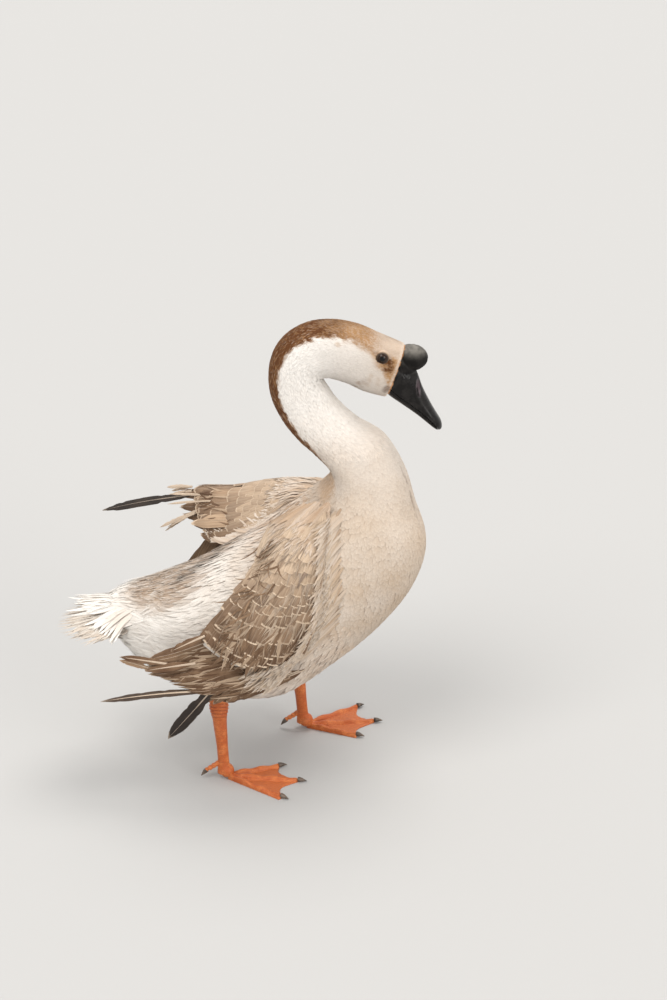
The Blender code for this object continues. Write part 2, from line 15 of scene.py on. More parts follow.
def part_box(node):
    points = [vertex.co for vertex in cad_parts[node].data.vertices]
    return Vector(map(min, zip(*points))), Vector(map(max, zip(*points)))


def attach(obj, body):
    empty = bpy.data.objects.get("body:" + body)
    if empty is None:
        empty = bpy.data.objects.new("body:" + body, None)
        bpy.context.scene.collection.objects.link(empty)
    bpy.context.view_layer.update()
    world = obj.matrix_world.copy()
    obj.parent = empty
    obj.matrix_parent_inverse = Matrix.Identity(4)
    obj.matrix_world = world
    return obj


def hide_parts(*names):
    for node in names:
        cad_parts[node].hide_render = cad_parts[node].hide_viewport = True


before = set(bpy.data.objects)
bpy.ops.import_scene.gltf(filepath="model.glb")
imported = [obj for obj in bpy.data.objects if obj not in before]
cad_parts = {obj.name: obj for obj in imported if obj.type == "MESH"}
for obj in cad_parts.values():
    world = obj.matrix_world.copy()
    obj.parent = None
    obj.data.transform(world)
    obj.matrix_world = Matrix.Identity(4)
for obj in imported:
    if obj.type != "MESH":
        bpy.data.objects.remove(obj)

bpy.ops.object.select_all(action="DESELECT")
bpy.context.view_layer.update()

# ---------------------------------------------------------------- the bird's measures, in metres
ROUNDNESS = 2.3  # of the body's sections: 2 is an ellipse
# Each section's back edge and belly edge as (x, z), its half width and the depth of its coat.
BODY = (
    ("vent_tip", (-0.192, 0.218), (-0.190, 0.190), 0.022, 0.0055),
    ("tail_root", (-0.170, 0.230), (-0.173, 0.162), 0.043, 0.0075),
    ("vent", (-0.132, 0.242), (-0.141, 0.132), 0.062, 0.0090),
    ("rump", (-0.078, 0.262), (-0.086, 0.108), 0.082, 0.0095),
    ("loin", (-0.034, 0.288), (-0.034, 0.094), 0.094, 0.0100),
    ("flank", (0.008, 0.318), (0.022, 0.099), 0.098, 0.0095),
    ("chest", (0.040, 0.345), (0.084, 0.142), 0.096, 0.0085),
    ("breast_low", (0.062, 0.361), (0.138, 0.190), 0.090, 0.0080),
    ("breast", (0.073, 0.372), (0.178, 0.242), 0.081, 0.0072),
    ("breast_top", (0.078, 0.381), (0.194, 0.294), 0.070, 0.0065),
    ("crop", (0.078, 0.390), (0.181, 0.344), 0.058, 0.0060),
    ("neck_base", (0.072, 0.400), (0.168, 0.389), 0.049, 0.0055),
    ("neck_low", (0.057, 0.414), (0.145, 0.430), 0.039, 0.0050),
    ("neck_mid", (0.038, 0.432), (0.112, 0.453), 0.0335, 0.0045),
    ("neck_upper", (0.020, 0.457), (0.089, 0.4755), 0.031, 0.0042),
    ("bend_low", (0.007, 0.489), (0.075, 0.496), 0.030, 0.0040),
    ("bend", (0.007, 0.526), (0.070, 0.506), 0.030, 0.0040),
    ("bend_high", (0.021, 0.555), (0.069, 0.508), 0.0305, 0.0040),
    ("nape", (0.048, 0.5735), (0.0705, 0.509), 0.031, 0.0038),
    ("crown_back", (0.079, 0.578), (0.079, 0.509), 0.033, 0.0034),
    ("crown", (0.110, 0.5725), (0.096, 0.5035), 0.0335, 0.0028),
    ("forehead", (0.138, 0.5605), (0.1175, 0.4925), 0.030, 0.0022),
    ("bill_base", (0.1650, 0.5490), (0.1425, 0.4845), 0.0235, 0.0012),
)
LAST = len(BODY) - 1
BACK = np.array([(row[1][0], 0.0, row[1][1]) for row in BODY])
BELLY = np.array([(row[2][0], 0.0, row[2][1]) for row in BODY])
HALF_WIDTH = np.array([row[3] for row in BODY])
COAT_DEPTH = np.array([row[4] for row in BODY])

# The bill, on an axis that runs from the middle of its base to its tip.
BILL_BASE = np.array((0.1545, 0.0, 0.5215))
BILL_AXIS = np.array((0.5507, 0.0, -0.8347))
BILL_UP = np.array((0.8347, 0.0, 0.5507))
# Each section: the ridge, the mouth line and the jaw's lower edge as (along, above), and the half width.
BILL = (
    ((-0.0150, 0.0040), (-0.0040, -0.0190), (0.0010, -0.0260), 0.0180),
    ((-0.0060, 0.0120), (0.0090, -0.0180), (0.0130, -0.0275), 0.0195),
    ((0.0110, 0.0186), (0.0210, -0.0160), (0.0235, -0.0256), 0.0190),
    ((0.0240, 0.0166), (0.0320, -0.0132), (0.0325, -0.0226), 0.0178),
    ((0.0400, 0.0126), (0.0450, -0.0090), (0.0455, -0.0180), 0.0160),
    ((0.0600, 0.0098), (0.0620, -0.0042), (0.0625, -0.0120), 0.0145),
    ((0.0760, 0.0084), (0.0770, -0.0012), (0.0770, -0.0078), 0.0136),
    ((0.0880, 0.0076), (0.0880, 0.0002), (0.0870, -0.0050), 0.0118),
    ((0.0945, 0.0048), (0.0935, -0.0006), (0.0915, -0.0036), 0.0072),
    ((0.0968, 0.0022), (0.0960, -0.0008), (0.0930, -0.0028), 0.0030),
)
JAW_NARROWER = 0.9
NOSTRIL = 0.035  # how far along the bill its middle is
KNOB_CENTRE = np.array((0.1728, 0.0, 0.5325))
KNOB_RADII = (0.02, 0.0155, 0.016)

EYE_CENTRE = np.array((0.1388, 0.0214, 0.5418))
EYE_RADIUS = 0.0076
EYE_OPENING = (0.0072, 0.006)  # half the gap between the lids, along and up
LID = 0.0009  # thickness

CLAW_RADIUS, CLAW_LENGTH = 0.003, 0.0108

FEET = {"right": (-0.052, -0.064, 0.0), "left": (0.044, 0.062, 0.0)}
ANKLES = {"right": (-0.0575, -0.062, 0.098), "left": (0.036, 0.06, 0.098)}
KNEES = {"right": (-0.055, -0.06, 0.127), "left": (0.036, 0.059, 0.124)}
THIGHS = {"right": (-0.022, -0.054, 0.172), "left": (0.022, 0.054, 0.17)}
THIGH_RADII = (0.044, 0.041, 0.034, 0.025, 0.0165)
TOE_TURN = {"right": -6.0, "left": 8.0}
TOES = ((-28.0, 0.086), (0.0, 0.092), (27.0, 0.072))  # spread in degrees, and length
TOE_HEIGHT, TOE_WIDTH, WEB_HEIGHT = 0.0085, 0.011, 0.002
SCUTE, FOLD = 0.0031, 0.0046  # pitch of the plates down a leg and of the folds round its ankle
THIGH_COAT = 0.006  # depth of the thigh's plumage at its top

# Wings: sheets drawn through these points. Each row runs from the shoulder outwards.
RIGHT_COVERTS = (
    ((0.0732, -0.062, 0.3615), (0.0684, -0.093, 0.3118), (0.0648, -0.104, 0.2477), (0.042, -0.102, 0.1858)),
    ((0.054, -0.067, 0.3633), (0.042, -0.104, 0.3095), (0.0276, -0.117, 0.2445), (0.006, -0.112, 0.1676)),
    ((0.03, -0.062, 0.3561), (0.0132, -0.101, 0.3059), (-0.0108, -0.117, 0.2471),
     (-0.0444, -0.115, 0.1667)),
    ((0.006, -0.05, 0.3386), (-0.013, -0.086, 0.2967), (-0.047, -0.105, 0.2575),
     (-0.085, -0.11, 0.1993)),
)
RIGHT_FLIGHT = (
    ((-0.056, -0.101, 0.216), (-0.083, -0.104, 0.206), (-0.11, -0.106, 0.197), (-0.135, -0.106, 0.191)),
    ((-0.04, -0.105, 0.19), (-0.078, -0.107, 0.182), (-0.112, -0.108, 0.174), (-0.142, -0.108, 0.172)),
    ((-0.014, -0.106, 0.166), (-0.056, -0.108, 0.156), (-0.09, -0.108, 0.152), (-0.118, -0.108, 0.156)),
    ((0.028, -0.102, 0.162), (-0.015, -0.105, 0.144), (-0.047, -0.106, 0.134), (-0.073, -0.106, 0.142)),
)
LEFT_COVERTS = (
    ((0.09, 0.088, 0.262), (0.048, 0.124, 0.232), (-0.012, 0.148, 0.222), (-0.07, 0.158, 0.246)),
    ((0.084, 0.092, 0.298), (0.042, 0.128, 0.28), (-0.014, 0.152, 0.259), (-0.082, 0.162, 0.27)),
    ((0.068, 0.068, 0.337), (0.02, 0.104, 0.3215), (-0.035, 0.132, 0.3), (-0.1, 0.148, 0.293)),
    ((0.054, 0.05, 0.344), (0.006, 0.082, 0.3295), (-0.045, 0.11, 0.307), (-0.112, 0.13, 0.297)),
    ((0.042, 0.036, 0.343), (-0.004, 0.06, 0.317), (-0.05, 0.084, 0.292), (-0.104, 0.104, 0.282)),
    ((0.026, 0.026, 0.332), (-0.013, 0.04, 0.298), (-0.05, 0.058, 0.274), (-0.086, 0.08, 0.264)),
)
# Single long feathers: quill end, point, half width, and the way the flat side faces.
LONG_FEATHERS = {
    "wing_right_primary_1": ((-0.05, -0.106, 0.146), (-0.196, -0.112, 0.134), 0.0052, (0, -0.5, 1)),
    "wing_right_primary_2": ((-0.056, -0.105, 0.156), (-0.117, -0.116, 0.086), 0.0085, (0, -1, 0.2)),
    "wing_right_primary_3": ((-0.13, -0.108, 0.174), (-0.172, -0.112, 0.19), 0.004, (0, -0.6, 1)),
    "wing_left_primary_1": ((-0.09, 0.118, 0.3), (-0.206, 0.124, 0.276), 0.0065, (0, -0.6, 1)),
}
PIN_FEATHERS = {
    "wing_left_quill_1": ((-0.09, 0.096, 0.286), (-0.134, 0.104, 0.262)),
    "wing_left_quill_2": ((-0.095, 0.132, 0.3), (-0.13, 0.14, 0.286)),
    "wing_left_quill_3": ((-0.095, 0.15, 0.297), (-0.128, 0.158, 0.292)),
}
TAIL_ROOT = np.array((-0.128, 0.0, 0.208))
TAIL_LENGTHS = (0.086, 0.098, 0.107, 0.116, 0.106)
TAIL_SPREAD, TAIL_SLOPE, TAIL_TURN = 34.0, -4.0, 8.0

# The camera looks along +Y and down by its tilt in degrees, at a point from a distance in metres.
CAMERA_TARGET, CAMERA_TILT = (0.082, 0.0, 0.348), 25.0
CAMERA_DISTANCE, CAMERA_LENS = 3.4, 102.0


def eye_shift():
    """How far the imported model's frame is from the bird's own."""
    left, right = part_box("eye_left"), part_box("eye_right")
    centre = (left[0] + left[1] + right[0] + right[1]) / 4
    return np.array((centre.x - EYE_CENTRE[0], centre.y, 0.0))


SHIFT = eye_shift()
EYES = {side: EYE_CENTRE * (1, side, 1) + SHIFT for side in (1, -1)}  # 1 is the left eye, -1 the right


# ---------------------------------------------------------------- curves, surfaces and noise
def held(x):
    """x held between 0 and 1."""
    return np.clip(x, 0, 1)


def lengths(vectors):
    return np.linalg.norm(vectors, axis=-1)


def smooth(x, low, high):
    """0 below low, 1 above high and an even slope between."""
    share = held((x - low) / (high - low))
    return share * share * (3 - 2 * share)


def band(x, start, full, wane, end):
    """1 from full to wane, fading to 0 at start and at end."""
    return smooth(x, start, full) * (1 - smooth(x, wane, end))


def crest(off, width):
    """1 along a line, fading to either side of it."""
    return np.exp(-(off / width) ** 2)


def unit(vectors):
    return vectors / np.maximum(np.linalg.norm(vectors, axis=-1, keepdims=True), 1e-12)


def curve(values, t):
    """A smooth curve through values at every t, counted in steps between them.

    Each value is a number, a vector, or an array with one vector for each t."""
    values = np.asarray(values, float)
    t = np.asarray(t, float)
    last = len(values) - 1
    i = np.clip(np.floor(t).astype(int), 0, last - 1)
    own = values.ndim == t.ndim + 2
    f = t - i if values.ndim == 1 else (t - i)[..., None]

    def pick(k):
        j = np.clip(i + k, 0, last)
        return np.take_along_axis(values, j[None, ..., None], axis=0)[0] if own else values[j]

    p0, p1, p2, p3 = (pick(k) for k in (-1, 0, 1, 2))
    return 0.5 * (2 * p1 + (p2 - p0) * f + (2 * p0 - 5 * p1 + 4 * p2 - p3) * f ** 2
        + (3 * p1 - p0 - 3 * p2 + p3) * f ** 3)


def swirl(points, size, seed):
    """Smooth noise from -1 to 1 whose patches are about size across."""
    rng = np.random.default_rng(seed)
    total = 0.0
    for _ in range(6):
        way = unit(rng.normal(size=3)) * rng.uniform(0.7, 1.6) * 2 * np.pi / size
        total = total + np.sin(points @ way + rng.uniform(0, 6.3))
    return total / 3.0


NUDGE = 1e-3  # the share of a sheet over which its slope is measured


class Surface:
    """A sheet that feathers lie on: f runs the way they lie, c across, and both sides of the coat are
    heights above it along the outward normal: skin(f, c) below and outline(f, c) above."""

    def __init__(self, place, low, high, outward, skin, outline, sides=(-np.inf, np.inf), beyond=None):
        self.place, self.low, self.high, self.outward = place, low, high, outward
        self.skin, self.outline, self.sides, self.beyond = skin, outline, sides, beyond

    def at(self, f, c):
        """Points, steps along f and c, and outward normals. Past its ends the sheet runs straight on."""
        step = NUDGE * (self.high - self.low)
        g = np.clip(f, self.low + step, self.high - step)
        d = np.clip(c, self.sides[0] + NUDGE, self.sides[1] - NUDGE)
        point = self.place(g, d)
        along = (self.place(g + step, d) - self.place(g - step, d)) / (2 * step)
        across = (self.place(g, d + NUDGE) - self.place(g, d - NUDGE)) / (2 * NUDGE)
        normal = unit(np.cross(along, across)) * self.outward
        onward = along * (f - g)[..., None]
        if self.beyond is not None:
            straight = self.beyond * np.linalg.norm(along, axis=-1, keepdims=True)
            onward = np.where((f > self.high)[..., None], straight * (f - g)[..., None], onward)
        return point + onward + across * (c - d)[..., None], along, across, normal


def body_place(f, c):
    t = -f
    back, belly, half = curve(BACK, t), curve(BELLY, t), curve(HALF_WIDTH, t)
    k = (np.abs(np.cos(c)) ** ROUNDNESS + np.abs(np.sin(c)) ** ROUNDNESS) ** (-1 / ROUNDNESS)
    point = (back + belly) / 2 + (back - belly) / 2 * (np.cos(c) * k)[..., None]
    point[..., 1] += half * np.sin(c) * k
    return point + SHIFT


def body_skin(f, c):
    return -curve(COAT_DEPTH, np.clip(-f, 0, LAST))


BODY_SURFACE = Surface(body_place, -LAST, 0.0, -1.0, body_skin, lambda f, c: 0.0 * f,
    beyond=np.array((-0.996, -0.02, -0.08)))


def net_surface(net, side, full, rim):
    """A wing panel's own sheet. side is 1 for the face that its normal leaves from, -1 for the other."""
    rows = np.array(net, float)

    def place(f, c):
        flat_f, flat_c = np.ravel(f), np.ravel(c)
        lines = np.stack([curve(row, flat_f * (len(row) - 1)) for row in rows])
        return (curve(lines, flat_c * (len(rows) - 1)) + SHIFT).reshape(*np.shape(f), 3)

    def thick(f, c):
        share = held(4.5 * np.minimum(np.minimum(f + 0.1, 1 - f), np.minimum(c, 1 - c)))
        return (rim + (full - rim) * np.sin(share * np.pi / 2)) / 2

    return Surface(place, 0.0, 1.0, side, lambda f, c: thick(f, c) * 0.35, thick, (0.0, 1.0))


RIGHT_WING = net_surface(RIGHT_COVERTS, -1.0, 0.015, 0.0022)
RIGHT_LINING = net_surface(RIGHT_COVERTS, 1.0, 0.015, 0.0022)
LEFT_WING = net_surface(LEFT_COVERTS, 1.0, 0.009, 0.002)
LEFT_LINING = net_surface(LEFT_COVERTS, -1.0, 0.009, 0.002)
RIGHT_VANES = net_surface(RIGHT_FLIGHT, 1.0, 0.0032, 0.0016)


def tail_place(f, c):
    """The fan at c from the bird's left side to its right and f from its root to the feather ends."""
    aside = 2 * c - 1
    length = curve(TAIL_LENGTHS, held(c) * (len(TAIL_LENGTHS) - 1))
    reach = 0.012 + (length - 0.012) * f
    angle = np.radians(180 + TAIL_TURN + TAIL_SPREAD * aside)
    rise = math.tan(math.radians(TAIL_SLOPE)) * reach - 0.008 * aside * aside
    return TAIL_ROOT + SHIFT + np.stack((np.cos(angle) * reach, np.sin(angle) * reach, rise), -1)


def tail_thick(f, c):
    return (0.0016 + 0.0104 * held(1 - f) * (1 - 0.6 * np.abs(2 * c - 1))) / 2


def no_depth(f, c):
    return 0.0 * f


TAIL_TOP = Surface(tail_place, 0.0, 1.0, 1.0, no_depth, tail_thick)
TAIL_UNDER = Surface(tail_place, 0.0, 1.0, -1.0, no_depth, tail_thick)


def thigh_surface(side):
    top, bottom = np.array(THIGHS[side]), np.array(KNEES[side]) + (0, 0, 0.002)

    def place(f, c):
        radius = curve(np.array(THIGH_RADII), f * 4)
        ring = np.stack((1.15 * np.cos(c), np.sin(c), 0 * c), -1)
        return top + (bottom - top) * f[..., None] + radius[..., None] * ring + SHIFT

    return Surface(place, 0.0, 1.0, 1.0, lambda f, c: -THIGH_COAT * (1 - 0.5 * held(f)), no_depth)


THIGH_SURFACES = {side: thigh_surface(side) for side in FEET}


class Samples:
    """Points all over a sheet, to find the one that is nearest to a place."""

    def __init__(self, surface, f, c):
        self.f, self.c = (part.ravel() for part in np.meshgrid(f, c, indexing="ij"))
        self.points, _, _, self.normals = surface.at(self.f, self.c)
        self.tree = KDTree(len(self.points))
        for i, point in enumerate(self.points):
            self.tree.insert(point, i)
        self.tree.balance()

    def nearest(self, points):
        return np.array([self.tree.find(point)[1] for point in points], int)


BODY_SAMPLES = Samples(BODY_SURFACE, np.linspace(-LAST, 0, 300), np.linspace(-np.pi, np.pi, 121))


# ---------------------------------------------------------------- markings, shared by skin and coat
# Half the width of the dark stripe, in degrees from the line of the back, at these stations.
STRIPE = ((10.3, 0), (10.9, 24), (11.85, 38), (12.6, 45), (14.0, 49), (15.4, 52), (16.5, 52), (18.2, 50),
          (19.0, 48), (19.55, 48), (19.95, 50), (20.35, 54), (20.7, 61), (21.0, 71), (21.35, 84),
          (21.6, 100), (21.8, 118), (22.0, 128))
# How deep a brown the stripe is, from tan to chocolate.
STRIPE_DEPTH = ((10.3, 0.5), (12.0, 0.72), (13.0, 0.92), (14.5, 1.0), (17.5, 1.0), (18.4, 0.9),
                (19.1, 0.62), (19.8, 0.26), (20.5, 0.1), (21.2, 0.04), (22.0, 0.1))
# How buff the breast and neck are in front.
BUFF = ((0.0, 0.05), (2.0, 0.1), (4.0, 0.45), (6.0, 0.85), (8.0, 0.92), (9.5, 0.84), (11.0, 0.7),
        (12.2, 0.46), (13.2, 0.22), (14.5, 0.05), (16.0, 0.0), (18.0, 0.04), (19.0, 0.14), (20.5, 0.32),
        (22.0, 0.6))


def nearest_station(point):
    """The station, and the degrees off the line of the back, of the body's surface nearest to point."""
    t, c = (part.ravel() for part in np.meshgrid(np.linspace(19, 22, 121), np.linspace(0, np.pi, 181),
        indexing="ij"))
    place, _, _, _ = BODY_SURFACE.at(-t, c)
    best = np.argmin(np.linalg.norm(place - point, axis=1))
    return np.array((t[best], np.degrees(c[best])))


EYE_PLACE = nearest_station(EYES[1])


def table(rows, x):
    return np.interp(x, [row[0] for row in rows], [row[1] for row in rows])


def measure(rows, t):
    """A measure of the plumage at station t: one number, or rows of stations and numbers."""
    return table(rows, t) if isinstance(rows, tuple) else rows + 0 * t


def spot(t, off, centre, size):
    """1 at centre, given as (station, degrees off the line of the back), fading to 0 at size."""
    away = np.sqrt(((t - centre[0]) / size[0]) ** 2 + ((off - centre[1]) / size[1]) ** 2)
    return 1 - smooth(away, 0.55, 1.15)


def body_marks(t, c, points):
    """Shares of buff, tan, brown and dark in the plumage at station t and angle c round the body."""
    degrees = np.degrees((c + np.pi) % (2 * np.pi) - np.pi)
    off = np.abs(degrees)
    ragged = 3.5 * swirl(points, 0.012, 11) + 2.0 * swirl(points, 0.005, 12)
    edge = table(STRIPE, t)
    softness = 4.5 + 7.5 * smooth(t, 19.0, 20.4)
    stripe = (1 - smooth(off + ragged, edge - softness, edge + softness)) * smooth(t, 10.4, 11.0)
    depth = held(table(STRIPE_DEPTH, t) + 0.12 * swirl(points, 0.02, 13))
    cream_line = smooth(t, 21.7, 21.9)
    forehead = smooth(t, 20.2, 21.3) * (1 - smooth(off + ragged, 44, 66))
    tan = stripe * (1 - 0.8 * cream_line) * (1 - 0.78 * forehead)
    brown = stripe * depth * (1 - cream_line)
    blotch = 0.22 - 0.14 * smooth(t, 4.0, 6.0)
    buff = table(BUFF, t) * (0.88 + blotch * swirl(points, 0.05, 14))
    # the breast is warmest low in front, the sides of the neck are whiter
    buff = buff + 0.16 * band(t, 5.0, 7.0, 9.5, 11.5) * smooth(off, 110, 160)
    # a pale brown bib at the back of the neck's base, between the shoulders
    nape_base = band(t, 6.6, 7.4, 10.6, 11.4) * (1 - smooth(off + ragged, 20, 34))
    buff = np.maximum(buff, 0.9 * nape_base)
    tan = np.maximum(tan, 0.42 * nape_base)
    # the back: beige fluff at the shoulders, a speckled tan column, white sides of the lower back
    shoulders = band(t, 4.2, 5.4, 6.6, 7.4) * (1 - smooth(off, 70, 95))
    speckle = band(t, 3.9, 4.6, 6.0, 6.8) * (1 - smooth(np.abs(degrees + 14), 20, 40))
    speckle = speckle * smooth(swirl(points, 0.008, 15), -0.35, 0.25)
    buff = np.maximum(buff, 0.55 * shoulders)
    tan = np.maximum(tan, 0.62 * speckle)
    brown = np.maximum(brown, 0.22 * speckle)
    # the rump: a grey-brown saddle, and a dark wisp down its far side
    patchy = held(0.85 + 0.35 * swirl(points, 0.012, 16))
    saddle = np.maximum(spot(t, np.abs(degrees + 12), (1.85, 0), (1.25, 46)),
        spot(t, np.abs(degrees - 22), (3.2, 0), (1.3, 26))) * patchy
    wisp_line = np.interp(t, (1.4, 2.4, 3.8), (-16, -12, 30))
    wisp = (1 - smooth(np.abs(degrees - wisp_line) + 4 * swirl(points, 0.01, 17), 5, 15))
    wisp = wisp * band(t, 1.9, 2.4, 3.9, 4.5)
    buff = np.maximum(buff, 0.95 * saddle)
    brown = np.maximum(brown, 0.4 * saddle)
    dark = np.maximum(0.2 * saddle, 0.75 * wisp * (0.7 + 0.4 * swirl(points, 0.006, 18)))
    flank = band(t, 3.2, 4.6, 5.6, 6.6) * smooth(off, 50, 80) * smooth(swirl(points, 0.016, 22), 0.0, 0.8)
    brown = np.maximum(brown, 0.25 * flank)
    # smudges under the chin, a tan fleck behind the cheek, and painted shade: dark streaks where the plumage
    # parts low on the front of the neck
    streaky = 0.55 + 0.6 * swirl(points, 0.007, 20)
    chin = spot(t + 0.01 * (off - 128), off, (20.6, 130), (0.3, 24)) * held(streaky)
    fleck = 0.6 * spot(t, off, (19.25, 60), (0.14, 6))
    lore = spot(t, off, (21.5, 72), (0.26, 17)) * held(streaky + 0.4)
    jowl = spot(t, off, (21.2, 112), (0.75, 30)) * (0.75 + 0.4 * swirl(points, 0.01, 23))
    crease = spot(t, off, (21.75, 122), (0.2, 12))
    rim = spot(t, off, EYE_PLACE, (0.34, 11)) * 0.5 + spot(t, off, EYE_PLACE - (0.3, 2), (0.18, 5)) * 0.6
    # painted shade: dark streaks where the plumage parts, low on the front of the neck
    parting_shade = spot(t, -degrees, (10.45, 160), (0.85, 3.5)) * smooth(swirl(points, 0.014, 19), -1.0, -0.1)
    buff = np.maximum(np.maximum(buff, 0.65 * forehead), np.maximum(0.7 * chin + 0.8 * fleck, 0.55 * jowl))
    tan = np.maximum(tan, 0.35 * fleck)
    # painted shade: a little brown low on the flanks and the sides of the chest and breast, where the body is
    # in shade
    shaded = 0.07 * band(t, 3.0, 4.6, 7.2, 9.0) * smooth(off, 75, 120)
    brown = brown + 0.2 * chin + 0.85 * lore + 0.45 * crease + 0.32 * parting_shade + 0.6 * rim + shaded
    dark = dark + 0.06 * parting_shade + 0.2 * crease
    return {name: held(share) for name, share in (("buff", buff), ("tan", tan), ("brown", brown),
        ("dark", dark))}


# ---------------------------------------------------------------- meshes
def mesh_object(name, points, faces, sharp=None):
    """A mesh from points and arrays of faces, one array for each number of corners."""
    mesh = bpy.data.meshes.new(name)
    corners = np.concatenate([face.ravel() for face in faces]).astype(np.int32)
    sizes = np.concatenate([np.full(len(face), face.shape[1]) for face in faces])
    starts = np.concatenate(([0], np.cumsum(sizes)[:-1])).astype(np.int32)
    mesh.vertices.add(len(points))
    mesh.vertices.foreach_set("co", np.asarray(points, np.float32).ravel())
    mesh.loops.add(len(corners))
    mesh.loops.foreach_set("vertex_index", corners)
    mesh.polygons.add(len(sizes))
    mesh.polygons.foreach_set("loop_start", starts)
    mesh.update(calc_edges=True)
    mesh.shade_smooth()
    if sharp:
        mesh.set_sharp_from_angle(angle=math.radians(sharp))
    obj = bpy.data.objects.new(name, mesh)
    bpy.context.scene.collection.objects.link(obj)
    return obj


def points_of(obj, field="co"):
    found = np.zeros(len(obj.data.vertices) * 3, np.float32)
    obj.data.vertices.foreach_get(field, found)
    return found.reshape(-1, 3).astype(float)


def set_points(obj, points):
    obj.data.vertices.foreach_set("co", points.astype(np.float32).ravel())
    obj.data.update()


def set_attribute(obj, name, values):
    layer = obj.data.attributes.new(name, "FLOAT", "POINT")
    layer.data.foreach_set("value", np.asarray(values, np.float32).ravel())


def grid_faces(rows, columns, closed):
    """Quads of a grid of points; closed joins the last column to the first."""
    i, j = np.meshgrid(np.arange(rows - 1), np.arange(columns if closed else columns - 1), indexing="ij")
    k = (j + 1) % columns
    corners = (i * columns + j, i * columns + k, (i + 1) * columns + k, (i + 1) * columns + j)
    return np.stack(corners, -1).reshape(-1, 4)


def loft(name, rings):
    """A closed surface through rings of points, with a face on each end."""
    rings = np.asarray(rings)
    rows, columns = rings.shape[:2]
    ends = np.stack((np.arange(columns)[::-1], (rows - 1) * columns + np.arange(columns)))
    obj = mesh_object(name, rings.reshape(-1, 3), [grid_faces(rows, columns, True), ends])
    return face_out(obj)


def active(obj):
    bpy.ops.object.select_all(action="DESELECT")
    obj.select_set(True)
    bpy.context.view_layer.objects.active = obj
    return obj


def face_out(obj):
    active(obj)
    bpy.ops.object.mode_set(mode="EDIT")
    bpy.ops.mesh.select_all(action="SELECT")
    bpy.ops.mesh.normals_make_consistent(inside=False)
    bpy.ops.object.mode_set(mode="OBJECT")
    return obj


def apply_modifier(obj, kind, **settings):
    active(obj)
    modifier = obj.modifiers.new(kind, kind)
    for key, value in settings.items():
        setattr(modifier, key, value)
    bpy.ops.object.modifier_apply(modifier=modifier.name)
    return obj


def combine(obj, other, operation):
    """Boolean of obj with other, which is used up."""
    apply_modifier(obj, "BOOLEAN", operation=operation, solver="EXACT", object=other)
    bpy.data.objects.remove(other)
    return obj


def settle(obj):
    """Puts obj's place, turn and size into its mesh."""
    active(obj)
    bpy.ops.object.transform_apply(location=True, rotation=True, scale=True)
    return obj


def ball(radius, place, segments=48, rings=32, turn=(0, 0, 0), stretch=(1, 1, 1)):
    bpy.ops.mesh.primitive_uv_sphere_add(segments=segments, ring_count=rings, radius=radius, location=place,
        rotation=turn)
    bpy.context.object.scale = stretch
    return settle(bpy.context.object)


def join(first, *others):
    active(first)
    for other in others:
        other.select_set(True)
    bpy.ops.object.join()
    return first


def soften(obj, voxel, rounds):
    """Makes obj one even mesh and rounds it off."""
    apply_modifier(obj, "REMESH", mode="VOXEL", voxel_size=voxel)
    return apply_modifier(obj, "SMOOTH", factor=0.5, iterations=rounds)


def slab(name, upper, lower):
    """A closed plate between two grids of points."""
    rows, columns = upper.shape[:2]
    faces = grid_faces(rows, columns, False)
    edge = np.concatenate((np.arange(columns), np.arange(1, rows) * columns + columns - 1,
        (rows - 1) * columns + np.arange(columns - 1)[::-1], np.arange(1, rows - 1)[::-1] * columns))
    after = np.roll(edge, -1)
    count = rows * columns
    sides = np.stack((edge, after, after + count, edge + count), -1)
    return face_out(mesh_object(name, np.concatenate((upper.reshape(-1, 3), lower.reshape(-1, 3))),
        [np.concatenate((faces, faces[:, ::-1] + count, sides))]))


def finish_piece(obj, material, slot, *nodes):
    obj.data.materials.clear()
    obj.data.materials.append(material)
    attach(obj, "root")
    if nodes:
        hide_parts(*nodes)
    return obj


# ---------------------------------------------------------------- feathers
PATCH = 0.003  # of the bake's map, for each feather, and the map's own margin
MAP_SPAN = 0.99  # the part of the map that the feathers' roots are spread over
CELL_MARGIN = 0.06  # round each feather that has a cell of the map
MOST_CELLS = 420  # a piece with no more feathers than this has a cell of the map for each


def lay(surface, f, c, length, steps, yaw, bend, rise, ease, lift):
    """Feather spines that start at (f, c) and run along the surface's lie, from the skin up to the outline.

    yaw and bend turn each aside, in radians; lift raises the tip, as a share of the length."""
    f, c = np.array(f, float), np.array(c, float)
    length = np.broadcast_to(length, f.shape)
    spine, ups, stops = [], [], []
    for i in range(steps + 1):
        s = i / steps
        point, along, across, normal = surface.at(f, c)
        low, high = surface.skin(f, c), surface.outline(f, c)
        share = rise[0] + (rise[1] - rise[0]) * s ** ease
        height = low + (high - low) * share + lift * length * s ** 2
        spine.append(point + normal * height[..., None])
        ups.append(normal)
        stops.append((f.copy(), c.copy()))
        turn = yaw + bend * s
        f = f + np.cos(turn) * length / steps / np.maximum(lengths(along), 0.006)
        c = c + np.sin(turn) * length / steps / np.maximum(lengths(across), 1e-4)
    return np.stack(spine, 1), np.stack(ups, 1), stops


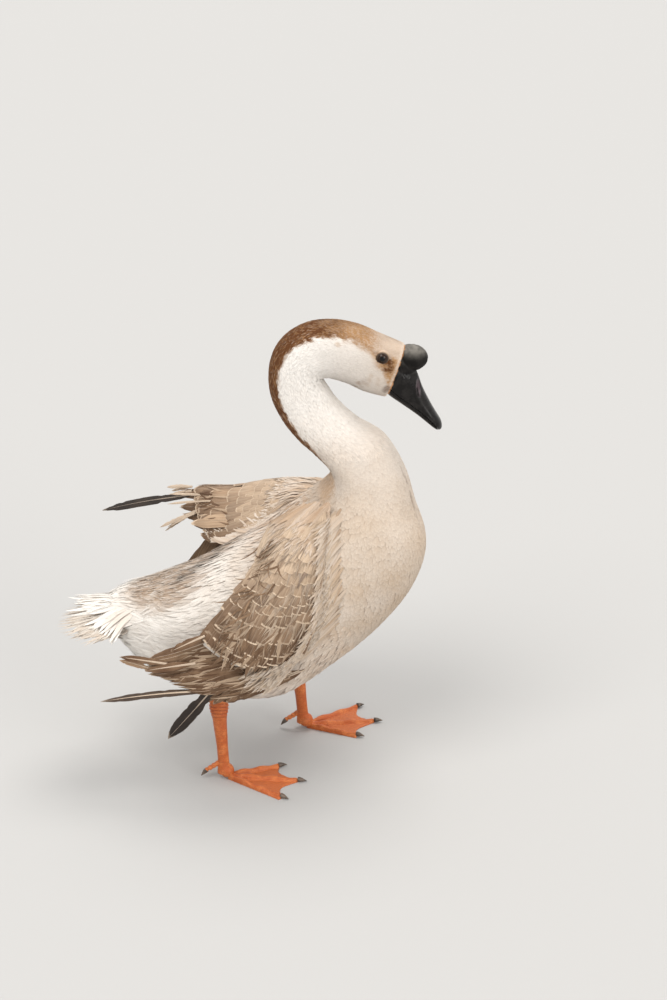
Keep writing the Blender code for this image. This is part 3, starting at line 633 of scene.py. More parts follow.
class Coat:
    """Feathers gathered into one piece. Each is a thin closed vane."""

    def __init__(self, name):
        self.name, self.points, self.faces, self.count = name, [], [], 0
        self.vane, self.root, self.number, self.shares, self.feathers = [], [], [], [], 0

    def add(self, spine, up, width, outline, root, shares, columns=2, crown=0.18, rounding=0.0,
            notch=None, fray=None):
        """spine and up are (feathers, rings, 3). outline is each ring's share of the half width, and a last
        ring of 0 makes a point. root is where each starts on the unwrap. shares are the markings."""
        count, rings = spine.shape[:2]
        width = np.broadcast_to(width, count)
        s = np.linspace(0, 1, rings)
        x = np.linspace(-1, 1, columns + 1)
        length = lengths(np.diff(spine, axis=1)).sum(1)
        along = unit(np.gradient(spine, axis=1))
        aside = unit(np.cross(along, up))
        up = np.cross(aside, along)
        wide = width[:, None] * np.asarray(outline)[None, :]
        reach = -rounding * x[None, None, :] ** 2 + np.zeros((count, 1, 1))
        if notch is not None:
            reach = reach + notch[:, None, :]
        reach = reach * length[:, None, None] * (s ** 3)[None, :, None]
        out = x[None, None, :] * wide[..., None]
        if fray is not None:
            out = out * (1 + fray * np.abs(x)[None, None, :] ** 3)
        raised = crown * wide[..., None] * (1 - x ** 2)[None, None, :]
        points = (spine[:, :, None] + aside[:, :, None] * out[..., None] + up[:, :, None] * raised[..., None]
            + along[:, :, None] * reach[..., None])
        pointed = outline[-1] == 0
        full = rings - 1 if pointed else rings
        ring = columns + 1
        size = full * ring + (1 if pointed else 0)
        flat = points[:, :full].reshape(count, full * ring, 3)
        vane = np.stack(np.broadcast_arrays((x[None, :] + 1) / 2, s[:full, None]), -1).reshape(-1, 2)
        if pointed:
            flat = np.concatenate((flat, spine[:, -1:]), 1)
            vane = np.concatenate((vane, [(0.5, 1.0)]))
        faces = [grid_faces(full, ring, True)]
        caps = [np.arange(ring)[::-1]]
        last = (full - 1) * ring
        if pointed:
            k = np.arange(ring)
            faces.append(np.stack((last + k, last + (k + 1) % ring, np.full(ring, full * ring)), -1))
        else:
            caps.append(last + np.arange(ring))
        faces.append(np.array(caps))
        starts = self.count + np.arange(count)[:, None, None] * size
        for face in faces:
            self.faces.append((starts + face[None]).reshape(-1, face.shape[1]))
        self.points.append(flat.reshape(-1, 3))
        self.vane.append(np.tile(vane, (count, 1)))
        self.root.append(np.stack(root, -1))
        self.number.append(np.repeat(self.feathers + np.arange(count), size))
        self.feathers += count
        own = {}
        for name, share in shares.items():
            share = np.asarray(share, float)
            if share.ndim == 3:
                each = share[:, :full].reshape(count, -1)
                own[name] = (np.concatenate((each, share[:, -1, :1]), 1) if pointed else each).ravel()
            elif share.ndim == 2:
                each = np.repeat(share[:, :full], ring, axis=1)
                share = np.concatenate((each, share[:, -1:]), 1) if pointed else each
                own[name] = share.ravel()
            else:
                own[name] = np.repeat(np.broadcast_to(share, count), size)
        self.shares.append(own)
        self.count += count * size

    def build(self, material, slot, *nodes):
        points = np.concatenate(self.points)
        by_size = {}
        for face in self.faces:
            by_size.setdefault(face.shape[1], []).append(face)
        faces = [np.concatenate(same) for same in by_size.values()]
        obj = mesh_object(self.name, points, faces, sharp=75)
        root, number, vane = (np.concatenate(part) for part in (self.root, self.number, self.vane))
        if self.feathers > MOST_CELLS:
            low, high = root.min(0), root.max(0)
            placed = (PATCH + MAP_SPAN * (root - low) / (high - low))[number] + (vane - (0.5, 0.0)) * PATCH
        else:
            # a few large feathers have a cell of the map each, in the order of their roots
            columns = math.ceil(math.sqrt(self.feathers))
            rows = math.ceil(self.feathers / columns)
            order = np.argsort(np.argsort(np.round(root[:, 1], 2) * 100 + root[:, 0]))[number]
            cell = np.stack((order % columns, order // columns), -1)
            placed = (cell + CELL_MARGIN + (1 - 2 * CELL_MARGIN) * vane) / (columns, rows)
        corners = np.zeros(len(obj.data.loops), np.int32)
        obj.data.loops.foreach_get("vertex_index", corners)
        for name, values in (("OFBake", placed), ("vane", vane)):
            layer = obj.data.uv_layers.new(name=name)
            layer.uv.foreach_set("vector", values[corners].astype(np.float32).ravel())
        for name in self.shares[0]:
            set_attribute(obj, name, np.concatenate([own[name] for own in self.shares]))
        return finish_piece(obj, material, slot, *nodes)


def lancet(rings, widest=0.45, root=0.45):
    """Half widths of a feather that ends in a point."""
    s = np.linspace(0, 1, rings)
    return np.where(s < widest, root + (1 - root) * np.sin(s / widest * np.pi / 2),
        np.cos((s - widest) / (1 - widest) * np.pi / 2) ** 0.8).round(9)


def paddle(rings, root=0.35, tip=0.72, from_end=0.22):
    """Half widths of a feather with a broad round end."""
    s = np.linspace(0, 1, rings)
    grown = root + (1 - root) * np.sin(held(s / 0.5) * np.pi / 2)
    closing = held((s - (1 - from_end)) / from_end)
    return grown * (1 - (1 - tip) * closing ** 2)


def body_rows(rng, low, high, exposure, spacing, within=None, loose=0.4):
    """Feather roots on the body from station high down to low: (stations, angles).

    exposure is how far apart the rows are, spacing the feathers in a row."""
    ring = np.linspace(-np.pi, np.pi, 181)
    stations, angles = [], []
    t, row = high, 0
    while t > low:
        point, along, _, _ = BODY_SURFACE.at(np.full(ring.shape, -t), ring)
        speed = lengths(along)
        step = measure(exposure, t) / speed.max()
        around = np.concatenate(([0], np.cumsum(np.linalg.norm(np.diff(point, axis=0), axis=1))))
        count = int(around[-1] / measure(spacing, t))
        s = (np.arange(count) + 0.5 * (row % 2) + rng.uniform(-0.3, 0.3, count)) / count * around[-1]
        c = np.interp(s % around[-1], around, ring)
        kept = rng.random(count) < np.interp(c, ring, speed) / speed.max()
        stations.append((t + rng.uniform(-loose, loose, count) * step)[kept])
        angles.append(c[kept])
        t -= step
        row += 1
    t, c = np.concatenate(stations), np.concatenate(angles)
    if within is not None:
        kept = within(t, c)
        t, c = t[kept], c[kept]
    return np.minimum(t, LAST), c


def net_rows(rng, tips, spacing, surface, low=0.0, high=1.0, loose=0.1):
    """Places in rows at each f of tips, spacing apart across: (f, c)."""
    fs, cs = [], []
    for row, f in enumerate(tips):
        c = np.linspace(low, high, 60)
        point, _, _, _ = surface.at(np.full(c.shape, f), c)
        along = np.concatenate(([0], np.cumsum(np.linalg.norm(np.diff(point, axis=0), axis=1))))
        count = max(2, int(round(along[-1] / spacing)))
        s = (np.arange(count) + 0.25 + 0.5 * (row % 2)) / count * along[-1]
        s = s + rng.uniform(-loose, loose, count) * spacing
        cs.append(np.interp(np.clip(s, 0, along[-1]), along, c))
        fs.append(np.full(count, f) + rng.uniform(-loose, loose, count) * 0.02)
    return np.concatenate(fs), np.concatenate(cs)


def marks_along(surface_stops, spine):
    """Body markings for each ring of each feather."""
    found = [body_marks(-f, c, spine[:, i]) for i, (f, c) in enumerate(surface_stops)]
    return {name: np.stack([ring[name] for ring in found], 1) for name in found[0]}


# ---------------------------------------------------------------- materials
class Nodes:
    """Short ways to add nodes to a tree."""

    def __init__(self, tree):
        self.tree = tree

    def add(self, kind, inputs=(), **settings):
        made = self.tree.nodes.new(kind)
        for key, value in settings.items():
            setattr(made, key, value)
        for key, value in dict(inputs).items():
            self.feed(made.inputs[key], value)
        return made

    def feed(self, socket, value):
        if isinstance(value, bpy.types.NodeSocket):
            self.tree.links.new(value, socket)
        else:
            socket.default_value = value

    def give(self, out, **values):
        """Joins values to a group's own outputs."""
        for name, value in values.items():
            self.feed(out[name], value)

    def maths(self, operation, *values):
        made = self.add("ShaderNodeMath", operation=operation)
        for socket, value in zip(made.inputs, values):
            self.feed(socket, value)
        return made.outputs[0]

    def times(self, first, second):
        return self.maths("MULTIPLY", first, second)

    def plus(self, first, second):
        return self.maths("ADD", first, second)

    def fade(self, value, low, high, start=0.0, end=1.0):
        made = self.add("ShaderNodeMapRange", interpolation_type="SMOOTHSTEP")
        for key, number in (("Value", value), ("From Min", low), ("From Max", high), ("To Min", start),
                ("To Max", end)):
            self.feed(made.inputs[key], number)
        return made.outputs["Result"]

    def blend(self, share, first, second, kind="MIX"):
        made = self.add("ShaderNodeMix", data_type="RGBA", blend_type=kind)
        self.feed(made.inputs["Factor"], share)
        self.feed(made.inputs[6], first)
        self.feed(made.inputs[7], second)
        return made.outputs[2]

    def shade(self, share, base, tint):
        return self.blend(share, base, tint, "MULTIPLY")

    def lay(self, base, *rows):
        """Colours laid over base, each by its own share."""
        for share, tint in rows:
            base = self.blend(self.share(share) if isinstance(share, str) else share, base, tint)
        return base

    def place(self):
        return self.add("ShaderNodeTexCoord").outputs["Object"]

    def vane(self):
        return self.add("ShaderNodeUVMap", uv_map="vane").outputs["UV"]

    def share(self, name):
        return self.add("ShaderNodeAttribute", attribute_name=name).outputs["Fac"]

    def noise(self, vector, scale, detail=2.0, rough=0.5):
        inputs = {"Vector": vector, "Scale": scale, "Detail": detail, "Roughness": rough}
        return self.add("ShaderNodeTexNoise", inputs).outputs["Fac"]

    def group(self, tree, **inputs):
        made = self.add("ShaderNodeGroup", node_tree=tree)
        for key, value in inputs.items():
            self.feed(made.inputs[key.replace("_", " ")], value)
        return made.outputs


def colour(red, green, blue):
    return (red, green, blue, 1.0)


def new_group(name, inputs, outputs):
    """An empty shader group with named sockets: its nodes, its input sockets and its output node."""
    tree = bpy.data.node_groups.new(name, "ShaderNodeTree")
    for kind, rows in (("INPUT", inputs), ("OUTPUT", outputs)):
        for label, default in rows.items():
            shape = {float: "NodeSocketFloat", tuple: "NodeSocketColor",
                str: "NodeSocketVector"}[type(default)]
            socket = tree.interface.new_socket(name=label, in_out=kind, socket_type=shape)
            if shape != "NodeSocketVector":
                socket.default_value = default
    nodes = Nodes(tree)
    source, sink = nodes.add("NodeGroupInput"), nodes.add("NodeGroupOutput")
    return nodes, source.outputs, sink.inputs


def make_plumage_tint():
    """Five plumage colours laid over one another by their shares, with each feather's own tone."""
    nodes, given, out = new_group("plumage tint",
        {"White": colour(0.86, 0.83, 0.78), "Buff": colour(0.62, 0.48, 0.35), "Tan": colour(0.52, 0.3, 0.13),
        "Brown": colour(0.2, 0.09, 0.035), "Dark": colour(0.03, 0.02, 0.013), "Buff share": 0.0,
        "Tan share": 0.0, "Brown share": 0.0, "Dark share": 0.0, "Tone": 0.5}, {"Color": colour(1, 1, 1)})
    laid = given["White"]
    for name in ("Buff", "Tan", "Brown", "Dark"):
        laid = nodes.blend(given[f"{name} share"], laid, given[name])
    shade = nodes.fade(given["Tone"], 0.0, 1.0, 0.9, 1.1)
    toned = nodes.add("ShaderNodeVectorMath", operation="SCALE")
    nodes.feed(toned.inputs[0], laid)
    nodes.feed(toned.inputs["Scale"], shade)
    nodes.feed(out["Color"], toned.outputs["Vector"])
    return nodes.tree


def make_vane_pattern():
    """A feather's own pattern on its vane map: the shaft, slanting barbs and a paler fringe."""
    nodes, given, out = new_group("vane pattern",
        {"Vane": "vector", "Barbs": 26.0, "Slant": 0.9, "Fringe": 0.86},
        {"Shaft": 0.0, "Barb": 0.0, "Edge": 0.0, "Height": 0.0, "Tip": 0.0, "Streak": 0.0, "Bar": 0.0})
    parts = nodes.add("ShaderNodeSeparateXYZ", {"Vector": given["Vane"]}).outputs
    off = nodes.maths("ABSOLUTE", nodes.maths("MULTIPLY_ADD", parts["X"], 2.0, -1.0))
    shaft = nodes.fade(off, 0.03, 0.1, 1.0, 0.0)
    slanted = nodes.maths("SUBTRACT", parts["Y"], nodes.times(off, nodes.times(given["Slant"], 0.3)))
    grain = nodes.noise(nodes.add("ShaderNodeCombineXYZ", {"X": off, "Y": slanted}).outputs[0], 7.0, 2.0)
    wave = nodes.maths("SINE", nodes.plus(nodes.times(slanted, nodes.times(given["Barbs"], 6.283)),
        nodes.times(grain, 9.0)))
    barb = nodes.fade(wave, -1.0, 1.0)
    ragged = nodes.maths("MULTIPLY_ADD", grain, 0.1, -0.05)
    fanned = nodes.times(parts["X"], nodes.maths("MULTIPLY_ADD", parts["Y"], -5.0, 14.0))
    streak = nodes.noise(nodes.add("ShaderNodeCombineXYZ",
        {"X": fanned, "Y": parts["Y"], "Z": given["Slant"]}).outputs[0], 1.6, 3.0, 0.6)
    tip = nodes.fade(nodes.plus(parts["Y"], ragged), given["Fringe"], nodes.plus(given["Fringe"], 0.04))
    side = nodes.fade(nodes.plus(off, ragged), 0.84, 0.99)
    nodes.give(out, Shaft=shaft, Barb=barb, Tip=tip, Streak=nodes.fade(streak, 0.32, 0.66),
        Bar=nodes.fade(nodes.plus(parts["Y"], ragged), 0.55, given["Fringe"]),
        Edge=nodes.maths("MAXIMUM", tip, nodes.times(side, 0.15)),
        Height=nodes.plus(nodes.times(barb, 0.4), shaft))
    return nodes.tree


def make_leg_scales():
    """Small many-sided scales with dark seams, and wrinkles."""
    nodes, given, out = new_group("leg scales", {"Place": "vector", "Size": 520.0},
        {"Seam": 0.0, "Height": 0.0, "Patch": 0.0})
    cells = nodes.add("ShaderNodeTexVoronoi", {"Vector": given["Place"], "Scale": given["Size"]},
        feature="DISTANCE_TO_EDGE").outputs["Distance"]
    seam = nodes.fade(cells, 0.02, 0.16, 1.0, 0.0)
    patch = nodes.noise(given["Place"], 90.0, 3.0)
    nodes.give(out, Seam=seam, Patch=patch,
        Height=nodes.plus(nodes.maths("SUBTRACT", 1.0, seam), nodes.times(patch, 0.5)))
    return nodes.tree


def make_horn_grain():
    """Pores, scratches and damp patches of horn and keratin."""
    nodes, given, out = new_group("horn grain", {"Place": "vector", "Size": 700.0},
        {"Patch": 0.0, "Height": 0.0})
    pores = nodes.noise(given["Place"], given["Size"], 3.0, 0.6)
    patch = nodes.noise(given["Place"], nodes.times(given["Size"], 0.13), 3.0, 0.55)
    stretched = nodes.add("ShaderNodeVectorMath", operation="MULTIPLY")
    nodes.feed(stretched.inputs[0], given["Place"])
    nodes.feed(stretched.inputs[1], (1.0, 1.0, 0.35))
    lines = nodes.noise(stretched.outputs["Vector"], nodes.times(given["Size"], 0.5), 2.0)
    nodes.give(out, Patch=patch, Height=nodes.plus(nodes.times(pores, 0.5), nodes.plus(lines, patch)))
    return nodes.tree


PLUMAGE_TINT = make_plumage_tint()
VANE_PATTERN = make_vane_pattern()
LEG_SCALES = make_leg_scales()
HORN_GRAIN = make_horn_grain()


def new_material(name, roughness, specular, sheen=0.0, coat=0.0):
    """A material with its Principled shader, whose constant values are set on its own sockets."""
    made = bpy.data.materials.new(name)
    made.use_nodes = True
    nodes = Nodes(made.node_tree)
    shader = made.node_tree.nodes["Principled BSDF"]
    shader.inputs["Roughness"].default_value = roughness
    shader.inputs["Specular IOR Level"].default_value = specular
    shader.inputs["IOR"].default_value = 1.45
    shader.inputs["Sheen Weight"].default_value = sheen
    shader.inputs["Sheen Roughness"].default_value = 0.5
    shader.inputs["Coat Weight"].default_value = coat
    shader.inputs["Coat Roughness"].default_value = 0.06
    return made, nodes, shader


def wear(nodes, shader, base, roughness, height, distance, strength):
    """Puts a colour, a roughness and fine relief on a shader."""
    nodes.feed(shader.inputs["Base Color"], base)
    nodes.feed(shader.inputs["Roughness"], roughness)
    relief = nodes.add("ShaderNodeBump", {"Height": height, "Distance": distance, "Strength": strength})
    nodes.feed(shader.inputs["Normal"], relief.outputs["Normal"])


def plumage(name, barbs, tip_light, white=colour(0.82, 0.8, 0.765), buff=colour(0.57, 0.44, 0.325),
        brown=colour(0.125, 0.05, 0.019), shaft_light=0.12, sheen=0.1, streaks=0.22, stained=0.14):
    """Soft body plumage: its markings, then barbs, a faint shaft and paler tips."""
    made, nodes, shader = new_material(name, 0.78, specular=0.18, sheen=sheen)
    place = nodes.place()
    vane = nodes.vane()
    pattern = nodes.group(VANE_PATTERN, Vane=vane, Barbs=barbs)
    stain = nodes.noise(place, 32.0, 3.0, 0.6)
    buff_share = nodes.plus(nodes.share("buff"), nodes.fade(stain, 0.45, 0.8, 0.0, stained))
    tint = nodes.group(PLUMAGE_TINT, White=white, Buff=buff, Tan=colour(0.47, 0.275, 0.13), Brown=brown,
        Buff_share=buff_share, Tan_share=nodes.share("tan"), Brown_share=nodes.share("brown"),
        Dark_share=nodes.share("dark"), Tone=nodes.share("tone"))["Color"]
    shaded = nodes.shade(nodes.fade(pattern["Barb"], 0.0, 1.0, 0.07, 0.0), tint, colour(0.3, 0.22, 0.16))
    shaded = nodes.shade(nodes.fade(pattern["Streak"], 0.0, 1.0, streaks, 0.0), shaded,
        colour(0.46, 0.36, 0.27))
    # the lower part of each vane darker: partly the grey down at a feather's base, partly painted shade under
    # the feathers that lie over it
    up_vane = nodes.add("ShaderNodeSeparateXYZ", {"Vector": vane}).outputs["Y"]
    root = nodes.fade(up_vane, 0.45, 0.95, 0.16, 0.0)
    shaded = nodes.shade(root, shaded, colour(0.58, 0.46, 0.36))
    light = nodes.plus(nodes.times(pattern["Tip"], tip_light), nodes.times(pattern["Shaft"], shaft_light))
    final = nodes.blend(light, shaded, colour(0.95, 0.9, 0.82))
    roughness = nodes.fade(pattern["Barb"], 0.0, 1.0, 0.88, 0.7)
    wear(nodes, shader, final, roughness, pattern["Height"], 0.00025, 0.6)
    return made


def wing_plumage(name, ground, deep):
    """Stiffer wing feathers: brown vanes deeper in the middle, pale shafts, pale edges where marked so."""
    made, nodes, shader = new_material(name, 0.62, specular=0.28, sheen=0.05)
    place = nodes.place()
    pattern = nodes.group(VANE_PATTERN, Vane=nodes.vane(), Barbs=34.0, Fringe=0.94)
    patch = nodes.noise(place, 55.0, 3.0, 0.6)
    deepness = nodes.plus(nodes.share("dark"), nodes.fade(patch, 0.35, 0.75, -0.12, 0.2))
    barred = nodes.times(nodes.times(pattern["Bar"], nodes.share("edged")), 0.45)
    deepness = nodes.plus(deepness, barred)
    base = nodes.lay(ground, (deepness, deep), ("pale", colour(0.62, 0.48, 0.35)),
        ("white", colour(0.77, 0.725, 0.66)))
    toned = nodes.shade(nodes.fade(nodes.share("tone"), 0.0, 1.0, 0.45, 0.0), base, colour(0.55, 0.52, 0.5))
    toned = nodes.shade(nodes.fade(pattern["Barb"], 0.0, 1.0, 0.12, 0.0), toned, colour(0.35, 0.3, 0.27))
    toned = nodes.shade(nodes.fade(pattern["Streak"], 0.0, 1.0, 0.45, 0.0), toned, colour(0.45, 0.38, 0.32))
    toned = nodes.lay(toned, (nodes.times(pattern["Edge"], nodes.share("edged")), colour(0.72, 0.57, 0.42)),
        (nodes.times(pattern["Shaft"], nodes.share("shaft")), colour(0.78, 0.66, 0.5)))
    roughness = nodes.fade(pattern["Barb"], 0.0, 1.0, 0.74, 0.54)
    wear(nodes, shader, toned, roughness, pattern["Height"], 0.0003, 0.7)
    return made


def skin_material():
    """Bare skin under the plumage in the plumage's own markings, orange scaly legs and grey eyelids."""
    made, nodes, shader = new_material("skin", 0.55, specular=0.4)
    place = nodes.place()
    scales = nodes.group(LEG_SCALES, Place=place)
    tint = nodes.group(PLUMAGE_TINT, Buff_share=nodes.share("buff"), Tan_share=nodes.share("tan"),
        Brown_share=nodes.share("brown"), Dark_share=nodes.share("dark"), Tone=0.2)["Color"]
    tint = nodes.shade(0.12, tint, colour(0.5, 0.4, 0.32))
    orange = nodes.blend(nodes.fade(scales["Patch"], 0.35, 0.7), colour(0.5, 0.115, 0.026),
        colour(0.66, 0.205, 0.058))
    orange = nodes.lay(orange, ("web", colour(0.56, 0.155, 0.045)),
        (nodes.times(scales["Seam"], 0.55), colour(0.3, 0.055, 0.015)),
        (nodes.times(nodes.share("crease"), 0.75), colour(0.24, 0.045, 0.014)))
    base = nodes.lay(tint, ("leg", orange), ("lid", colour(0.05, 0.033, 0.024)),
        ("ring", colour(0.34, 0.225, 0.135)))
    roughness = nodes.fade(nodes.share("leg"), 0.0, 1.0, 0.85, 0.42)
    wear(nodes, shader, base, roughness, scales["Height"], 0.0004, 0.6)
    return made


def bill_material():
    """Black horn with a painted highlight on the knob's top and along the ridge, damp patches, a pinkish
    nostril that is partly its own skin and partly a painted highlight, and an orange edge at the feathers.
    """
    made, nodes, shader = new_material("bill_horn", 0.4, specular=0.14, coat=0.12)
    place = nodes.place()
    grain = nodes.group(HORN_GRAIN, Place=place)
    black = nodes.blend(nodes.fade(grain["Patch"], 0.4, 0.72), colour(0.006, 0.0052, 0.0048),
        colour(0.016, 0.014, 0.013))
    # painted highlight: a pale grey laid over the black in patches, where the knob faces up and along the
    # ridge
    highlight_share = nodes.times(nodes.share("bloom"), nodes.fade(grain["Patch"], 0.35, 0.62, 0.45, 1.0))
    black = nodes.blend(highlight_share, black, colour(0.25, 0.232, 0.205))
    # the nostril's pinkish grey: partly its own skin, partly a painted highlight in its hollow
    black = nodes.blend(nodes.times(nodes.share("nostril"), 0.35), black, colour(0.16, 0.11, 0.125))
    speckle = nodes.noise(place, 260.0, 3.0, 0.7)
    ragged = nodes.plus(nodes.share("edge"), nodes.fade(speckle, 0.3, 0.7, -0.45, 0.25))
    base = nodes.blend(nodes.fade(ragged, 0.35, 0.75), black, colour(0.52, 0.27, 0.13))
    sheen = nodes.fade(grain["Patch"], 0.35, 0.75, 0.2, 0.44)
    nodes.feed(shader.inputs["Coat Weight"], nodes.fade(nodes.share("matt"), 0.0, 1.0, 0.14, 0.0))
    wear(nodes, shader, base, nodes.plus(sheen, nodes.times(nodes.share("matt"), 0.3)), grain["Height"],
        0.00035, 0.5)
    return made


def claw_material():
    made, nodes, shader = new_material("claw_horn", 0.4, specular=0.5)
    grain = nodes.group(HORN_GRAIN, Place=nodes.place(), Size=900.0)
    base = nodes.blend(nodes.fade(grain["Patch"], 0.3, 0.7), colour(0.16, 0.115, 0.085),
        colour(0.05, 0.038, 0.03))
    wear(nodes, shader, base, 0.4, grain["Height"], 0.0002, 0.5)
    return made


def eye_material():
    """A dark brown iris with fine rays round a black pupil, under a wet clear coat."""
    made, nodes, shader = new_material("eye", 0.12, specular=0.25, coat=0.1)
    gaze = nodes.share("gaze")
    rays = nodes.noise(nodes.place(), 900.0, 2.0)
    iris = nodes.blend(nodes.fade(rays, 0.3, 0.7), colour(0.016, 0.008, 0.0045), colour(0.042, 0.02, 0.01))
    iris = nodes.blend(nodes.fade(gaze, 0.86, 1.05), iris, colour(0.012, 0.008, 0.006))
    base = nodes.blend(nodes.fade(gaze, 0.4, 0.5), colour(0.0025, 0.002, 0.002), iris)
    nodes.feed(shader.inputs["Base Color"], base)
    return made


# ---------------------------------------------------------------- skin: body, legs and wing cores in one
def toe_angles(side):
    mirror = 1 if side == "right" else -1
    return sorted((TOE_TURN[side] + mirror * spread, length) for spread, length in TOES)


def body_core():
    """The body inside its coat, finest at the head."""
    stations = np.concatenate((np.linspace(0, 18, 110, endpoint=False), np.linspace(18, LAST - 0.02, 60)))
    angles = np.linspace(-np.pi, np.pi, 97)[:-1]
    t, c = np.meshgrid(stations, angles, indexing="ij")
    point, _, _, normal = BODY_SURFACE.at(-t, c)
    furrow = 0.0006 * np.sin(np.degrees(c) * 0.32 + t * 5.0) * band(t, 11.0, 13.0, 16.5, 18.0)
    return loft("skin", point + normal * (body_skin(-t, c) + furrow)[..., None])


def eyelids(skin):
    """Lids as a thin shell over each eye, open in an almond, and the socket behind them."""
    for side, centre in EYES.items():
        combine(skin, ball(EYE_RADIUS + LID, centre), "UNION")
        combine(skin, ball(EYE_RADIUS + 0.0001, centre), "DIFFERENCE")
        bpy.ops.mesh.primitive_cylinder_add(vertices=40, radius=1.0, depth=0.012, location=(0, 0, 0),
            rotation=(math.pi / 2, 0, 0))
        opening = settle(bpy.context.object)
        points = points_of(opening)
        pinch = 1 - 0.3 * np.abs(points[:, 0]) ** 3
        points[:, 0] *= EYE_OPENING[0]
        points[:, 2] *= EYE_OPENING[1] * pinch
        points[:, 2] -= points[:, 0] * 0.18
        points += centre + (0, side * 0.0115, 0)
        set_points(opening, points)
        combine(skin, opening, "DIFFERENCE")
    return skin


def scute_phase(own):
    """How far down its own plate each place on a leg is, from 0 to 1."""
    return (own[:, 2] / SCUTE + 0.1 * np.sin(own[:, 1] * 600)) % 1


def ankle_folds(own):
    return np.sin(own[:, 2] * 2 * np.pi / FOLD + 6 * own[:, 1] / 0.01)


def shank_core(foot, ankle, knee):
    stops = np.linspace(0, 1, 40)
    line = curve(np.stack((foot + (0, 0, 0.008), foot + (ankle - foot) * 0.4 + (0, 0, 0.006), ankle, knee,
        knee + (knee - ankle) * 0.6)), stops * 4)
    radii = np.interp(stops * 4, (0, 0.5, 1, 1.7, 2.0, 2.35, 3, 4),
        (0.008, 0.0062, 0.0062, 0.0078, 0.0106, 0.01, 0.0108, 0.0112))
    around = np.linspace(0, 2 * np.pi, 25)[:-1]
    rings = line[:, None] + radii[:, None, None] * np.stack((1.12 * np.cos(around), 0.92 * np.sin(around),
        0 * around), -1)[None]
    return loft("shank", rings + SHIFT)


def web_core(foot, toes):
    """The toes and the web between them, on a flat sole."""
    angles = np.linspace(toes[0][0] - 4, toes[-1][0] + 4, 90)
    shares = np.linspace(0.06, 1, 70)
    reach = np.array([web_reach(angle, toes) for angle in angles])
    way = np.stack((np.cos(np.radians(angles)), np.sin(np.radians(angles))), -1)
    flat = way[:, None] * (reach[:, None] * shares[None])[..., None]
    rim = np.ones(flat.shape[:2])
    rim[0], rim[-1], rim[:, 0], rim[:, -1] = 0.35, 0.35, 0.35, 0.35
    top = np.concatenate((flat, (toe_relief(flat, toes) * rim)[..., None]), -1) + foot + SHIFT
    sole = np.concatenate((flat, np.zeros((*flat.shape[:2], 1))), -1) + foot + SHIFT
    return slab("sole", top, sole)


def leg_core(side):
    """One bare leg and webbed foot, remeshed into one smooth form and then given its scutes."""
    foot, ankle, knee = (np.array(place[side]) for place in (FEET, ANKLES, KNEES))
    toes = toe_angles(side)
    heel = foot + np.array((-0.0085, 0, 0.021))
    hind_toe = ((0.009, foot + (0.003, 0, 0.0115)), (0.0036, heel), (0.0034, heel + (-0.0045, 0, -0.003)),
        (0.0032, heel + (-0.009, 0, -0.006)), (0.0028, heel + (-0.0135, 0, -0.0088)))
    parts = [shank_core(foot, ankle, knee), web_core(foot, toes)]
    parts += [ball(radius, centre + SHIFT, 20, 12) for radius, centre in hind_toe]
    leg = soften(join(*parts), 0.00085, 3)
    points, normals = points_of(leg), points_of(leg, "normal")
    own = points - SHIFT - foot
    away = np.linalg.norm(own[:, :2], axis=1)
    on_toe = toe_ridge(own[:, :2], toes) * (own[:, 2] > 0.0025) * smooth(away, 0.008, 0.014)
    relief = 0.00032 * (np.sin(np.pi * ((away / 0.0027) % 1)) ** 0.6 - 0.6) * on_toe
    on_shank = smooth(own[:, 2], 0.012, 0.02)
    front = smooth(normals[:, 0], -0.15, 0.35)
    relief += 0.00034 * (np.sin(np.pi * scute_phase(own)) ** 0.5 - 0.6) * on_shank * front
    relief += 0.0004 * (ankle_folds(own) * smooth(own[:, 2], 0.08, 0.092)) * on_shank
    web = (1 - toe_ridge(own[:, :2], toes, 1.25)) * (own[:, 2] < 0.006)
    creased = np.sin(np.degrees(np.arctan2(own[:, 1], own[:, 0])) * 1.9 + away * 300)
    relief += 0.00022 * creased * web * (own[:, 2] > 0.001)
    points = points + normals * relief[:, None]
    points[:, 2] = np.maximum(points[:, 2], 0.0)
    set_points(leg, points)
    return leg


def web_reach(angle, toes):
    """How far the foot reaches at this angle: to a toe's end on a toe, less on the web between."""
    if angle <= toes[0][0] or angle >= toes[-1][0]:
        return toes[0][1] if angle <= toes[0][0] else toes[-1][1]
    for (a, long_a), (b, long_b) in zip(toes, toes[1:]):
        if a <= angle <= b:
            share = (angle - a) / (b - a)
            return (long_a + (long_b - long_a) * share) * (1 - 0.16 * math.sin(math.pi * share))


def off_toe(place, angle):
    """How far to the side of a toe's axis a place on the foot is."""
    axis = np.array((math.cos(math.radians(angle)), math.sin(math.radians(angle))))
    return np.abs(axis[0] * place[..., 1] - axis[1] * place[..., 0])


def toe_relief(place, toes):
    """Height of the foot's upper side: a knuckled ridge along each toe, and the web between."""
    reach = lengths(place)
    height = np.full(reach.shape, WEB_HEIGHT)
    for angle, length in toes:
        along = held(reach / length)
        size = (1 - 0.38 * along) * (1 + 0.12 * np.cos(along * np.pi * 6))
        beside = off_toe(place, angle) / (TOE_WIDTH / 2 * size)
        height = np.maximum(height, TOE_HEIGHT * size * np.sqrt(held(1 - beside ** 2)))
    return height


def toe_ridge(place, toes, wider=1.0):
    """1 on the toes and 0 on the web between them."""
    best = np.zeros(len(place))
    for angle, _ in toes:
        on = 1 - smooth(off_toe(place, angle), TOE_WIDTH * 0.34 * wider, TOE_WIDTH * 0.52 * wider)
        best = np.maximum(best, on)
    return best


